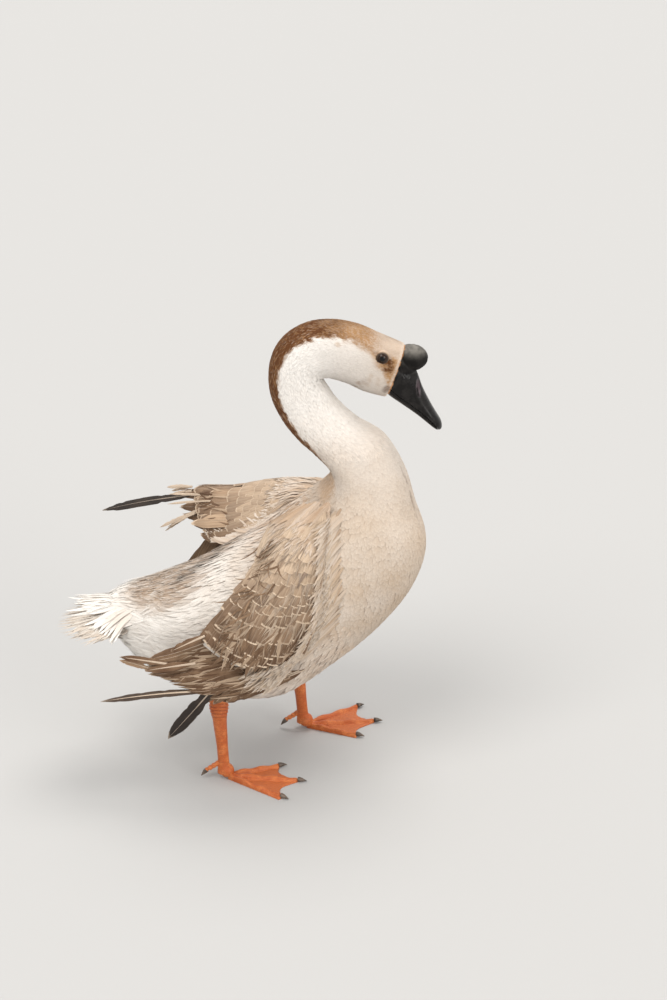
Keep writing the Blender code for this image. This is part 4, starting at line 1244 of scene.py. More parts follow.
def thigh_core(side):
    top, bottom = np.array(THIGHS[side]), np.array(KNEES[side]) + (0, 0, 0.0024)
    shares = np.linspace(0, 1, 24)
    around = np.linspace(0, 2 * np.pi, 41)[:-1]
    radii = curve(np.array(THIGH_RADII), shares * 4) - THIGH_COAT * (1 - 0.5 * shares)
    ring = np.stack((1.15 * np.cos(around), np.sin(around), 0 * around), -1)
    line = top + (bottom - top) * shares[:, None]
    return loft(f"thigh_core_{side}", line[:, None] + radii[:, None, None] * ring[None] + SHIFT)


def wing_core(name, surface, high):
    """The flesh of a wing inside its feathers: a rounded sheet from the shoulder out."""
    f, c = np.meshgrid(np.linspace(0.02, high, 40), np.linspace(0.05, 0.95, 40), indexing="ij")
    point, _, _, normal = surface.at(f, c)
    across, along = (np.sin(np.linspace(start, np.pi, 40)) ** 0.5 for start in (0, 0.9))
    half = 0.42 * surface.outline(held(f), c) * (across[None] * along[:, None]) + 0.0004
    return slab(name, point + normal * half[..., None], point - normal * half[..., None])


def leg_marks(points):
    """Where the skin is bare leg, web and dark crease."""
    leg, web, crease = (np.zeros(len(points)) for _ in range(3))
    for side, foot in FEET.items():
        own = points - SHIFT - foot
        mine = np.abs(points[:, 1] - SHIFT[1] - foot[1]) < 0.06
        near = 1 - smooth(own[:, 2], KNEES[side][2] + 0.004, KNEES[side][2] + 0.01)
        leg = np.maximum(leg, near * mine)
        web = np.maximum(web, (1 - toe_ridge(own[:, :2], toe_angles(side))) * mine * (own[:, 2] < 0.008))
        lines = np.where(own[:, 2] > 0.085, (ankle_folds(own) < -0.6) * 0.8, (scute_phase(own) < 0.14) * 0.45)
        crease = np.maximum(crease, mine * lines * (own[:, 2] > 0.012))
    return {"leg": leg, "web": web, "crease": crease}


def lid_marks(points):
    """Where the skin is eyelid, and the faint ring round it."""
    lid, ring = np.zeros(len(points)), np.zeros(len(points))
    for side, centre in EYES.items():
        away = np.linalg.norm((points - centre) * (1, 0.3, 1), axis=1)
        beside = side * (points[:, 1] - SHIFT[1]) > 0.015
        lid = np.maximum(lid, (1 - smooth(away, 0.007, 0.0082)) * beside)
        ring = np.maximum(ring, band(away, 0.0066, 0.0072, 0.0082, 0.0095) * beside)
    return {"lid": lid, "ring": ring * 0.15}


def make_skin():
    skin = body_core()
    for side in FEET:
        combine(skin, thigh_core(side), "UNION")
        combine(skin, leg_core(side), "UNION")
    combine(skin, wing_core("right_core", RIGHT_WING, 0.9), "UNION")
    combine(skin, wing_core("left_core", LEFT_WING, 0.85), "UNION")
    eyelids(skin)
    points = points_of(skin)
    nearest = BODY_SAMPLES.nearest(points)
    shares = body_marks(-BODY_SAMPLES.f[nearest], BODY_SAMPLES.c[nearest], points)
    for name, share in {**shares, **leg_marks(points), **lid_marks(points)}.items():
        set_attribute(skin, name, share)
    skin.data.shade_smooth()
    skin.data.set_sharp_from_angle(angle=math.radians(55))
    nodes = ["trunk", "neck_lower", "neck_middle", "neck_upper", "head"]
    nodes += [f"{part}_{side}" for part in ("thigh", "tarsus", "foot", "hind_toe") for side in FEET]
    return finish_piece(skin, skin_material(), "plumage_white", *nodes)


# ---------------------------------------------------------------- eyes, bill and claws
def make_eyes():
    for side, centre in EYES.items():
        name = "left" if side > 0 else "right"
        eye = ball(EYE_RADIUS, centre, turn=(-side * math.pi / 2, 0, 0))
        eye.name = f"eyeball_{name}"
        own = points_of(eye) - centre
        outward = np.arccos(np.clip(own[:, 1] * side / EYE_RADIUS, -1, 1))
        own[:, 1] += side * 0.0005 * crest(outward, 0.55)
        set_points(eye, own + centre)
        set_attribute(eye, "gaze", outward)
        eye.data.shade_smooth()
        finish_piece(eye, EYE, "eye_dark", f"eye_{name}")


def bill_point(along, above):
    return BILL_BASE + along[..., None] * BILL_AXIS + above[..., None] * BILL_UP + SHIFT


def bill_half(name, lower):
    """The upper bill or the lower jaw: half rings between the mouth line and the ridge or the jaw's edge."""
    rows = np.array([(*row[0], *row[1], *row[2], row[3]) for row in BILL])
    stops = np.linspace(0, len(rows) - 1, 110)
    ridge, mouth, jaw = (curve(rows[:, k:k + 2], stops) for k in (0, 2, 4))
    width = np.maximum(curve(rows[:, 6], stops), 0.0015) * (JAW_NARROWER if lower else 1.0)
    edge, rim = (bill_point(line[:, 0], line[:, 1]) for line in ((jaw if lower else ridge), mouth))
    rim = rim + BILL_UP * (-0.0004 if lower else 0.0004)
    angles = np.linspace(0, np.pi, 33)
    arch = np.sin(angles) ** 0.8
    rings = rim[:, None] + (edge - rim)[:, None] * arch[None, :, None]
    rings[..., 1] += width[:, None] * np.cos(angles)[None]
    return loft(name, rings)


def bill_coordinates(points):
    own = points - SHIFT - BILL_BASE
    return own @ BILL_AXIS, own @ BILL_UP, own[:, 1]


def feather_edge(points):
    """1 where the bill runs in under the face's feathers."""
    ahead = (points - SHIFT - (BACK[-1] + BELLY[-1]) / 2) @ unit(np.array((0.0645, 0.0, -0.0225)))
    return 1 - smooth(ahead, 0.0002, 0.003)


def finish_bill(obj, nodes, **shares):
    for name, share in shares.items():
        set_attribute(obj, name, share)
    obj.data.shade_smooth()
    finish_piece(obj, BILL_HORN, "bill_black", *nodes)


def make_upper_bill():
    upper = bill_half("bill", False)
    knob = ball(1.0, KNOB_CENTRE + SHIFT, stretch=KNOB_RADII)
    # its broad foot, where it runs into the bill
    foot = ball(1.0, KNOB_CENTRE + (-0.0105, 0, -0.008) + SHIFT, turn=(0, -0.55, 0),
        stretch=(0.015, 0.016, 0.02))
    soften(join(upper, knob, foot), 0.00065, 4)
    points, normals = points_of(upper), points_of(upper, "normal")
    along, above, y = bill_coordinates(points)
    # the nostril: a long shallow hollow with a slit low in it
    ridge, mouth = (table([row[k] for row in BILL], along) for k in (0, 1))
    down = ridge - above - 0.0042 - (along - NOSTRIL) * 0.24
    beside = np.abs(y) > 0.003
    hollow = held(1 - ((along - NOSTRIL) / 0.01) ** 2 - (down / 0.0034) ** 2) ** 0.7 * beside
    low = (down - 0.0006) / 0.0013
    slit = held(1 - ((along - NOSTRIL - 0.0035) / 0.0052) ** 2 - low ** 2) ** 0.5 * beside
    # the tomium: a groove above the mouth line, and ridges across the lip
    over_lip = above - mouth
    groove = crest(over_lip - 0.003, 0.0007) * band(along, 0.016, 0.026, 0.082, 0.088)
    lip = (1 - smooth(over_lip, 0.0004, 0.0024)) * band(along, 0.02, 0.03, 0.074, 0.082)
    # the nail at the tip, and creases that run down from the nostril and round the knob
    nail = crest(along - 0.08 + 14.0 * y * y / 0.012, 0.0007) * (np.abs(y) < 0.01) * (above > mouth + 0.003)
    crease = crest(down - 0.0062 + 0.1 * (along - 0.045), 0.0007) * band(along, 0.028, 0.036, 0.07, 0.08)
    from_knob = np.linalg.norm((points - SHIFT - KNOB_CENTRE) / KNOB_RADII, axis=1)
    on_knob = 1 - smooth(from_knob, 1.05, 1.35)
    neck = crest(from_knob - 1.22, 0.1) * (1 - on_knob)
    creased = held(neck + 0.35 * (1 - on_knob) * (1 - smooth(along, 0.02, 0.05)))
    relief = (-0.0015 * hollow - 0.0014 * slit - 0.00045 * groove - 0.00035 * nail - 0.00035 * crease
        + 0.00026 * (swirl(points, 0.0035, 31) * creased) + 0.00016 * (swirl(points, 0.006, 32) * on_knob)
        - 0.0004 * neck + 0.00022 * np.sin(along / 0.0013 * 2 * np.pi) * lip)
    points = points + normals * relief[:, None]
    set_points(upper, points)
    # painted highlight: the top of the knob, most where it faces up, and a line along the ridge
    ridge_line = crest(y, 0.0022) * (1 - on_knob) * smooth(above - mouth, 0.004, 0.008)
    bloom = 0.75 * on_knob * smooth(normals[:, 2], -0.1, 1.0) ** 1.5 + 0.35 * ridge_line
    # the nostril's share, in its hollow but not its slit: partly its own pinkish skin, partly a painted
    # highlight
    finish_bill(upper, ("bill_upper", "knob"), edge=feather_edge(points),
        matt=1 - smooth(from_knob, 1.15, 1.7), nostril=held(hollow * 1.5) * (1 - held(slit * 2)),
        bloom=held(bloom))


def make_lower_bill():
    jaw = soften(bill_half("jaw", True), 0.0008, 3)
    points, normals = points_of(jaw), points_of(jaw, "normal")
    along, _, y = bill_coordinates(points)
    side = smooth(np.abs(y) / 0.012, 0.7, 1.0)
    ridges = np.sin(along / 0.0016 * 2 * np.pi) * side * smooth(along, 0.02, 0.03)
    set_points(jaw, points + normals * (0.00018 * ridges)[:, None])
    finish_bill(jaw, ("bill_lower",), edge=feather_edge(points), nostril=0 * y, bloom=0 * y, matt=0 * y)


def make_claws():
    """Each claw starts as a cone, is curved down over its length and flattened below."""
    for node in sorted(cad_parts):
        if not node.startswith("claw_"):
            continue
        low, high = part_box(node)
        side, number = node.split("_")[1:]
        if number == "hind":
            root = Vector((high.x, (low.y + high.y) / 2, high.z - 0.0026))
            way = Vector((-0.76, 0, -0.65))
        else:
            angle, reach = toe_angles(side)[int(number) - 1]
            way = Vector((math.cos(math.radians(angle)), math.sin(math.radians(angle)), 0))
            root = Vector(FEET[side]) + Vector(SHIFT) + way * (reach - 0.0012) + Vector((0, 0, 0.004))
        bpy.ops.mesh.primitive_cone_add(vertices=20, radius1=CLAW_RADIUS, radius2=0.0004, depth=CLAW_LENGTH)
        claw = bpy.context.object
        claw.name = f"nail_{side}_{number}"
        bpy.ops.object.mode_set(mode="EDIT")
        bpy.ops.mesh.select_all(action="SELECT")
        bpy.ops.mesh.subdivide(number_cuts=5)
        bpy.ops.object.mode_set(mode="OBJECT")
        points = points_of(claw)
        share = (points[:, 2] + CLAW_LENGTH / 2) / CLAW_LENGTH
        points[:, :2] *= (1 + 0.35 * np.sin(np.pi * held(share)))[:, None]
        points[:, 0] -= 0.0016 * share ** 2
        set_points(claw, points)
        turn = way.to_track_quat("Z", "X").to_matrix().to_4x4()
        top, up = turn.to_3x3() @ Vector((1, 0, 0)), Vector((0, 0, 1))
        roll = Matrix.Rotation(math.atan2(top.cross(up).dot(way), top.dot(up)), 4, way)
        claw.data.transform(Matrix.Translation(root + way * (CLAW_LENGTH / 2)) @ roll @ turn)
        points = points_of(claw)
        points[:, 2] = np.maximum(points[:, 2], 0.0002)
        set_points(claw, points)
        claw.data.shade_smooth()
        finish_piece(claw, CLAW_HORN, "claw_horn", node)


# ---------------------------------------------------------------- the body's coat
def clear_of_eyes(spine):
    """Which feathers lie over neither eye."""
    keep = np.ones(len(spine), bool)
    for side, centre in EYES.items():
        beside = side * (spine[:, :, 1] - SHIFT[1]) > 0.012
        off = (spine - centre)[..., [0, 2]] / (0.0074, 0.0063)
        keep &= ~((lengths(off) < 1.0) & beside).any(1)
    return keep


WING_SAMPLES = [Samples(wing, np.linspace(0.06, 1, 50), np.linspace(0.03, 0.97, 40))
    for wing in (RIGHT_WING, LEFT_WING)]


def clear_of_wings(spine):
    """Which feathers don't come up through a wing."""
    keep = np.ones(len(spine), bool)
    tips = spine[:, -1]
    close = np.nonzero((tips[:, 2] < 0.4) & (tips[:, 2] > 0.12) & (np.abs(tips[:, 1] - SHIFT[1]) > 0.02))[0]
    for wing in WING_SAMPLES:
        for ring in (-3, -2, -1):
            place = spine[close, ring]
            best = wing.nearest(place)
            gap = place - wing.points[best]
            above = (gap * wing.normals[best]).sum(-1)
            keep[close[(lengths(gap) < 0.014) & (above > -0.0005)]] = False
    return keep


def soft_tone(rng, count, spread=0.5):
    return held(0.62 + spread * (rng.random(count) - 0.5))


def body_coat(name, seed, low, high, exposure, spacing, length, half_width, rings, material, columns=2,
        yaw=0.1, bend=0.1, outline=None, within=None, lift=0.0, notch=0.0, rounding=0.0, fray=0.0, loose=0.4,
        crown=0.18, drift=None, ease=0.75, clear_eyes=False, root=0.5, vary=0.25, tones=0.5,
        level=(0.86, 1.06)):
    """One region of body plumage. length, half_width, exposure and spacing can change with the station."""
    rng = np.random.default_rng(seed)
    t, c = body_rows(rng, low, high, exposure, spacing, within, loose)
    count = len(t)
    long = measure(length, t) * rng.uniform(0.85, 1.15, count)
    turn = yaw * rng.normal(size=count)
    if drift is not None:
        turn = turn + drift(t, c)
    curl = bend * rng.normal(size=count)
    top = rng.uniform(*level, count)
    raised = lift * rng.random(count) ** 2
    spine, up, stops = lay(BODY_SURFACE, -t, c, long, rings - 1, turn, curl, (root, top), ease, raised)
    kept = clear_of_wings(spine)
    if clear_eyes:
        kept &= clear_of_eyes(spine)
    spine, up, t, c = spine[kept], up[kept], t[kept], c[kept]
    stops = [(f[kept], a[kept]) for f, a in stops]
    count = len(t)
    shares = {key: held(0.7 * share[:, -1:] + 0.3 * share) for key,
        share in marks_along(stops, spine).items()}
    for key in ("tan", "brown", "dark"):
        shares[key] = held(shares[key] * rng.uniform(1 - vary, 1 + vary, (count, 1)))
    shares["tone"] = soft_tone(rng, count, tones)
    wide = measure(half_width, t) * rng.uniform(0.85, 1.15, count)
    cut = rng.uniform(-notch, notch, (count, columns + 1)) if notch else None
    rag = rng.uniform(-fray, fray, (count, rings, columns + 1)) if fray else None
    coat = Coat(name)
    outline = lancet(rings) if outline is None else outline
    coat.add(spine, up, wide, outline, (c, t), shares, columns, crown, rounding, cut, rag)
    coat.build(material, "plumage_white")


def make_body_coats():
    def below(_, c):
        return np.abs(c) > np.radians(92)

    def above(_, c):
        return np.abs(c) <= np.radians(98)

    def flow(t, c):
        return 0.22 * np.sin(t * 1.7 + 2.0 * c) + 0.12 * np.sin(t * 4.1 - 3.0 * c)

    face = ((18.4, 0.0082), (20.0, 0.0064), (21.0, 0.0048), (22.0, 0.0034))
    for name, seed, rear, front in (("coat_face", 1, 20.2, 22.0), ("coat_crown", 8, 18.45, 20.2)):
        body_coat(name, seed, rear, front, 0.0012, ((18.4, 0.00122), (22.0, 0.001)), face,
            ((18.4, 0.0011), (22.0, 0.00078)), 4, HEAD_PLUMAGE, clear_eyes=True, ease=0.8, bend=0.2,
            root=0.45, vary=0.32, crown=0.2, tones=0.35)
    body_coat("coat_neck_upper", 2, 14.4, 18.6, 0.0016, 0.0015, 0.0105, 0.0013, 4, HEAD_PLUMAGE, ease=0.8,
        root=0.5, vary=0.4, crown=0.3, drift=lambda t, c: 0.18 * np.sin(c * 2))
    body_coat("coat_neck_lower", 3, 12.0, 14.5, 0.0019, 0.0019, 0.0125, 0.0019, 4, HEAD_PLUMAGE, ease=0.8,
        root=0.6, vary=0.4)
    for name, seed, rear, front in (("coat_breast", 4, 6.6, 9.4), ("coat_crop", 9, 9.4, 12.2)):
        body_coat(name, seed, rear, front, ((6.5, 0.0036), (12.0, 0.0025)), ((6.5, 0.0036), (12.0, 0.0026)),
            ((6.5, 0.018), (12.0, 0.013)), ((6.5, 0.0038), (12.0, 0.0027)), 5, BREAST_PLUMAGE, columns=3,
            outline=paddle(5, tip=0.42, from_end=0.6), notch=0.03, rounding=0.08, loose=0.12, ease=1.0,
            root=0.78, yaw=0.06, bend=0.08, crown=0.05, vary=0.15, tones=0.3, level=(0.94, 1.01))
    body_coat("coat_belly", 5, 0.0, 6.8, ((0, 0.005), (4, 0.0058), (6.8, 0.0046)),
        ((0, 0.0045), (4, 0.0054), (6.8, 0.0046)), ((0, 0.028), (4, 0.03), (6.8, 0.024)),
        ((0, 0.0038), (4, 0.0046), (6.8, 0.0044)), 6, BODY_PLUMAGE, columns=3, outline=lancet(6, 0.5, 0.6),
        fray=0.12, within=below, bend=0.2, ease=0.9, root=0.62, crown=0.12, drift=flow)
    for name, seed, rear, front in (("coat_rump", 6, 0.0, 3.3), ("coat_back", 10, 3.3, 6.9)):
        body_coat(name, seed, rear, front, 0.0042, 0.0037, ((0, 0.04), (3, 0.044), (7, 0.034)),
            ((0, 0.0026), (4, 0.003), (7, 0.003)), 8, BODY_PLUMAGE, outline=lancet(8, 0.4), fray=0.08,
            within=above, yaw=0.06, bend=0.12, lift=0.018, ease=1.0, root=0.66, drift=flow, crown=0.1)
    # long loose plumes round the vent and over the root of the tail
    body_coat("vent_plumes", 7, 0.0, 2.4, 0.0075, 0.006, 0.052, 0.0022, 10, BODY_PLUMAGE,
        outline=lancet(10, 0.35), yaw=0.12, bend=0.3, lift=0.07, ease=0.8, root=0.6, drift=lambda t,
        c: 0.22 * np.sin(c), crown=0.15)


# ---------------------------------------------------------------- wings and tail
def tiles(coat, surface, seed, ends, spacing, length, half_width, rings, columns, marks, low=0.02, high=0.98,
        yaw=0.0, spread=0.05, bend=0.04, rise=(0.3, 1.0), lift=0.0, shape=None, rounding=0.1, notch=0.02,
        fray=0.0, crown=0.16, loose=0.1, before=0.0, beside=0.03, vary=0.15):
    """Overlapping feathers in rows that end at f in ends. marks(f, c, points, rng) gives their shares.

    They start no further than before ahead of the sheet and beside to either side of it."""
    rng = np.random.default_rng(seed)
    f, c = net_rows(rng, ends, spacing, surface, low=low, high=high, loose=loose)
    count = len(f)
    _, along, across, _ = surface.at(f, c)
    long = length * rng.uniform(1 - vary, 1 + vary, count)
    turn = (yaw(f, c) if callable(yaw) else yaw) + spread * rng.normal(size=count)
    f = np.maximum(f - long * np.cos(turn) / lengths(along), surface.low - before)
    c = np.clip(c - long * np.sin(turn) / lengths(across), surface.sides[0] - beside,
        surface.sides[1] + beside)
    top = rng.uniform(0.9, 1.08, count)
    spine, up, stops = lay(surface, f, c, long, rings - 1, turn, bend * rng.normal(size=count),
        (rise[0], rise[1] * top), 0.8, lift * rng.random(count) ** 2)
    ends_at = stops[-1]
    shares = marks(ends_at[0], ends_at[1], spine[:, -1], rng)
    shares["tone"] = soft_tone(rng, count, 0.9)
    shape = paddle(rings) if shape is None else shape
    cut = rng.uniform(-notch, notch, (count, columns + 1))
    rag = rng.uniform(-fray, fray, (count, rings, columns + 1)) if fray else None
    coat.add(spine, up, half_width * rng.uniform(0.9, 1.1, count), shape, (ends_at[1], ends_at[0]), shares,
        columns, crown, rounding, cut, rag)


def strands(coat, surface, seed, ends, spacing, length, half_width, rings, marks, widest=0.4, loose=0.5,
        **look):
    """The same with narrow pointed feathers."""
    tiles(coat, surface, seed, ends, spacing, length, half_width, rings, 2, marks,
        shape=lancet(rings, widest), loose=loose, **look)


def all_marks(count, **shares):
    """Every share a wing feather can have, 0 where not given."""
    return {name: shares.get(name, 0.0) + np.zeros(count)
        for name in ("dark", "pale", "white", "edged", "shaft")}


def right_marks(f, c, points, rng):
    low = smooth(f, 0.3, 0.6)
    rear = smooth(c, 0.62, 0.95)
    deep = smooth(f, 0.55, 1.0)
    dark = 0.16 + 0.22 * low + 0.3 * deep + 0.15 * rear * smooth(f, 0.3, 0.5) + 0.16 * swirl(points, 0.03, 41)
    dark = dark + 0.1 * rng.normal(size=len(f))
    pale = (1 - low) * 0.7 + 0.55 * (1 - smooth(c, 0.02, 0.16)) * low + 0.25 * (1 - deep)
    edged = (0.15 + 0.8 * low) * np.clip(0.75 + 0.5 * swirl(points, 0.02, 44), 0.25,
        1) * (1 - 0.6 * smooth(f, 0.95, 1.01))
    return all_marks(len(f), dark=held(dark), pale=held(pale), edged=edged, shaft=0.1)


def shoulder_marks(f, c, points, rng):
    pale = held(0.55 + 0.45 * swirl(points, 0.016, 42)) * (1 - 0.6 * smooth(f, 0.25, 0.5))
    return all_marks(len(f), dark=0.2 + 0.45 * (1 - pale), pale=pale, white=0.25 * rng.random(len(f)),
        edged=0.35)


def plume_marks(f, c, points, rng):
    """Ashy plumes, some with dark ends."""
    pale = held(0.62 + 0.4 * swirl(points, 0.014, 46))
    dark = np.where(rng.random(len(f)) > 0.9, 0.5, 0.08 + 0.22 * (1 - pale))
    return all_marks(len(f), dark=dark, pale=pale, white=0.22 * rng.random(len(f)), edged=0.15)


def sweep(f, c):
    """How far the shoulder's long plumes are turned towards the wing's rear edge."""
    return 0.8 - 0.55 * smooth(f, 0.05, 0.55) + 0.15 * np.sin(9 * c + 4 * f)


def mixed_marks(share, light, dark, more, pale, edged):
    """Marks for a mixture of feathers: the given share of them from dark to dark + more, the others light."""
    def marks(f, c, points, rng):
        lighter = rng.random(len(f)) > share
        return all_marks(len(f), dark=np.where(lighter, light, dark + more * rng.random(len(f))),
            pale=pale * lighter, edged=edged)
    return marks


wisp_marks = mixed_marks(0.6, 0.1, 0.6, 0.4, 0.6, 0.1)
edge_marks = mixed_marks(0.75, 0.15, 0.4, 0.35, 0.55, 0.25)


def curl_marks(f, c, points, rng):
    return all_marks(len(f), dark=0.35 + 0.45 * rng.random(len(f)), pale=0.5 * (rng.random(len(f)) > 0.7))


def lining_marks(f, c, points, rng):
    return all_marks(len(f), dark=0.1, pale=0.6, white=0.55, edged=0.1)


def spill_marks(f, c, points, rng):
    buff = held(0.85 + 0.2 * swirl(points, 0.02, 45))
    tan = 0.3 * rng.random(len(f)) * (1 - smooth(f, 0.3, 0.5))
    return {"buff": buff, "tan": tan, "brown": 0.08 + 0.14 * rng.random(len(f)), "dark": 0.0 * f}


def sheet_remiges(coat, surface, seed, start, ends, places, half_width, height, **shares):
    """Long feathers that follow a wing's sheet from start to each of ends, at places across it."""
    count = len(places)
    rings, columns = 18, 10
    s = np.linspace(0, 1, rings)
    rng = np.random.default_rng(seed)
    fs = start + (ends - start)[:, None] * s[None]
    cs = np.asarray(places)[:, None] + 0.03 * rng.normal(size=(count, 1)) * s[None]
    point, _, _, normal = surface.at(fs, cs)
    step = np.linspace(0.0018, -0.0018, count)[:, None]
    spine = point + normal * (height + step + 0.0022 * rng.random((count, 1)) * s ** 3)[..., None]
    vane_with_shaft(coat, spine, normal, np.broadcast_to(half_width, count), rng, columns, **shares)


def vane_with_shaft(coat, spine, up, half_width, rng, columns, splits=0.06, shaft=0.9, thick=0.001, **shares):
    count, rings = spine.shape[:2]
    s = np.linspace(0, 1, rings)
    shape = np.interp(s, (0, 0.05, 0.16, 0.45, 0.8, 0.93, 1.0), (0.16, 0.18, 0.62, 1.0, 0.92, 0.62, 0.3))
    parted = np.where(rng.random((count, rings, 1)) < 0.22, -splits * 4,
        splits) * rng.random((count, rings, columns + 1))
    marks = all_marks(count, **shares)
    marks["tone"] = soft_tone(rng, count, 0.8)
    place = (rng.random(count), rng.random(count))
    coat.add(spine, up, half_width, shape, place, marks, columns, 0.12, 0.05,
        rng.uniform(-0.02, 0.02, (count, columns + 1)), parted)
    rod = all_marks(count, pale=shaft, white=0.15)
    rod["tone"] = np.full(count, 0.9)
    rod["dark"] = marks["dark"] * (1 - shaft)
    raised = spine + up * (0.1 * half_width[:, None, None])
    coat.add(raised[:, :-1], up[:, :-1], thick, np.linspace(1, 0, rings - 1) ** 0.7, place, rod, 2, 0.7)


def remiges(coat, roots, tips, half_width, faces, seed, rings=18, columns=10, bow=0.03, **settings):
    """Long stiff feathers with a bare quill, parted vanes and a raised shaft, from roots to tips."""
    roots, tips = np.array(roots, float) + SHIFT, np.array(tips, float) + SHIFT
    s = np.linspace(0, 1, rings)
    ahead = unit(tips - roots)
    faces = np.broadcast_to(np.array(faces, float), roots.shape)
    up = unit(faces - ahead * (faces * ahead).sum(-1, keepdims=True))
    length = lengths(tips - roots)
    line = roots[:, None] + (tips - roots)[:, None] * s[None, :, None]
    line = line + up[:, None] * (bow * length[:, None] * np.sin(np.pi * s)[None])[..., None]
    vane_with_shaft(coat, line, np.repeat(up[:, None], rings, axis=1),
        np.broadcast_to(half_width, len(roots)), np.random.default_rng(seed), columns, **settings)


def long_feather(name, seed, material, **look):
    """One of the long feathers that stand alone, as its own piece."""
    root, tip, half, face = LONG_FEATHERS[name]
    coat = Coat(name.replace("wing_", "feather_"))
    remiges(coat, [root], [tip], half, face, seed, rings=26, columns=14, **look)
    coat.build(material, "plumage_brown", name)


def row_of(first, last, count):
    """Places from first to last, evenly."""
    steps = np.linspace(0, 1, count)[:, None]
    return np.array(first) * (1 - steps) + np.array(last) * steps


def rooted_plumes(coat, surface, rng, f, c, turn, long, half_width, rise, raised, shares):
    """Plumes that leave the body's own coat and end on a wing's sheet at (f, c)."""
    count, rings = len(f), 9
    _, along, across, _ = surface.at(f, c)
    f = f - long * np.cos(turn) / lengths(along)
    c = c - long * np.sin(turn) / lengths(across)
    bend = 0.25 * rng.normal(size=count)
    spine, up, stops = lay(surface, f, c, long, rings - 1, turn, bend, rise, 0.8, raised)
    best = BODY_SAMPLES.nearest(spine[:, 0])
    normal = BODY_SAMPLES.normals[best]
    pull = BODY_SAMPLES.points[best] - normal * 0.0015 - spine[:, 0]
    s = np.linspace(0, 1, rings)[None, :, None]
    spine = spine + pull[:, None] * (1 - s) ** 1.3
    up = unit(up * s + normal[:, None] * (1 - s))
    kept = lengths(pull) < 0.032
    number = int(kept.sum())
    coat.add(spine[kept], up[kept], rng.uniform(0.8, 1.2, number) * half_width, lancet(rings, 0.45, 0.55),
        (stops[-1][1][kept], stops[-1][0][kept]), {key: share[kept] for key, share in shares.items()}, 2,
        0.16, 0.0, None, rng.uniform(-0.12, 0.12, (number, rings, 3)))


def fluff_shares(rng, count, buff=0.85, barred=0.3):
    """Cream plumage with a few barred feathers in it."""
    bars = rng.random(count) < barred
    return {"buff": held(buff + 0.4 * (rng.random(count) - 0.5)), "tan": 0.1 * bars,
        "brown": 0.22 * bars * rng.random(count), "dark": np.zeros(count), "tone": soft_tone(rng, count, 0.5)}


def ruffle(coat, seed):
    """Fluffed feathers of the flank, in layers that stand over the right wing's front and lower edge."""
    rng = np.random.default_rng(seed)
    stops = (0, 0.16, 0.38, 0.55, 0.7, 0.84, 1)
    count = 130
    for layer in range(8):
        g = held(np.linspace(0, 1, count) + rng.normal(0, 0.01, count))
        f = np.interp(g, stops, (0.1, 0.26, 0.52, 0.72, 0.85, 0.92, 0.98)) + 0.03 * layer * g
        c = np.interp(g, stops, (0.12, 0.1, 0.07, 0.09, 0.18, 0.38, 0.6)) - 0.034 * layer
        c = c + 0.012 * rng.normal(size=count)
        turn = np.interp(g, stops, (0.55, 0.55, 0.62, 0.8, 1.0, 1.15, 1.25)) + rng.normal(0, 0.12, count)
        raised = rng.uniform(0.02, 0.05, count) + max(0.09 - 0.03 * layer, 0) * rng.random(count)
        rooted_plumes(coat, RIGHT_WING, rng, f, c, turn, rng.uniform(0.024, 0.034, count), 0.0018,
            (3.0, 1.45), raised, fluff_shares(rng, count))


def edge_plumes(coat, surface, seed, f_range, c_range, layers, count, long, turn, rise, half_width=0.0022,
        **look):
    """Plumes from the body over one edge of a wing, with ends spread over a range of f and of c."""
    rng = np.random.default_rng(seed)
    for _ in range(layers):
        f, c = rng.uniform(*f_range, count), rng.uniform(*c_range, count)
        rooted_plumes(coat, surface, rng, f, c, turn + rng.normal(0, 0.12, count),
            rng.uniform(0.85, 1.15, count) * long, half_width, rise, rng.uniform(0.0, 0.04, count),
            fluff_shares(rng, count, **look))


def make_right_coverts():
    coat = Coat("coverts_right")
    tiles(coat, RIGHT_WING, 51, (1.03, 0.955, 0.882, 0.81, 0.738, 0.668), 0.0125, 0.046, 0.0094, 12, 8,
        right_marks, low=0.14, high=0.97, yaw=0.1, spread=0.035, lift=0.006, notch=0.004, rounding=0.012,
        shape=paddle(12, root=0.6, tip=0.95, from_end=0.1), rise=(0.5, 1.0), loose=0.04, vary=0.02,
        crown=0.12)
    tiles(coat, RIGHT_WING, 52, (0.61, 0.56, 0.5, 0.44, 0.38, 0.32, 0.26, 0.2, 0.14, 0.08), 0.01, 0.032,
        0.0078, 8, 5, right_marks, low=0.12, high=0.97, yaw=0.18, spread=0.07, lift=0.02, notch=0.015,
        rounding=0.03, rise=(0.5, 1.0), shape=paddle(8, root=0.5, tip=0.88, from_end=0.15), vary=0.08)
    tiles(coat, RIGHT_LINING, 53, (0.99, 0.88, 0.77, 0.66, 0.55, 0.44, 0.33, 0.22, 0.11), 0.0125, 0.036,
        0.0085, 6, 4, lining_marks, rise=(0.3, 0.8))
    coat.build(WING_PLUMAGE, "plumage_brown", "wing_right_coverts")


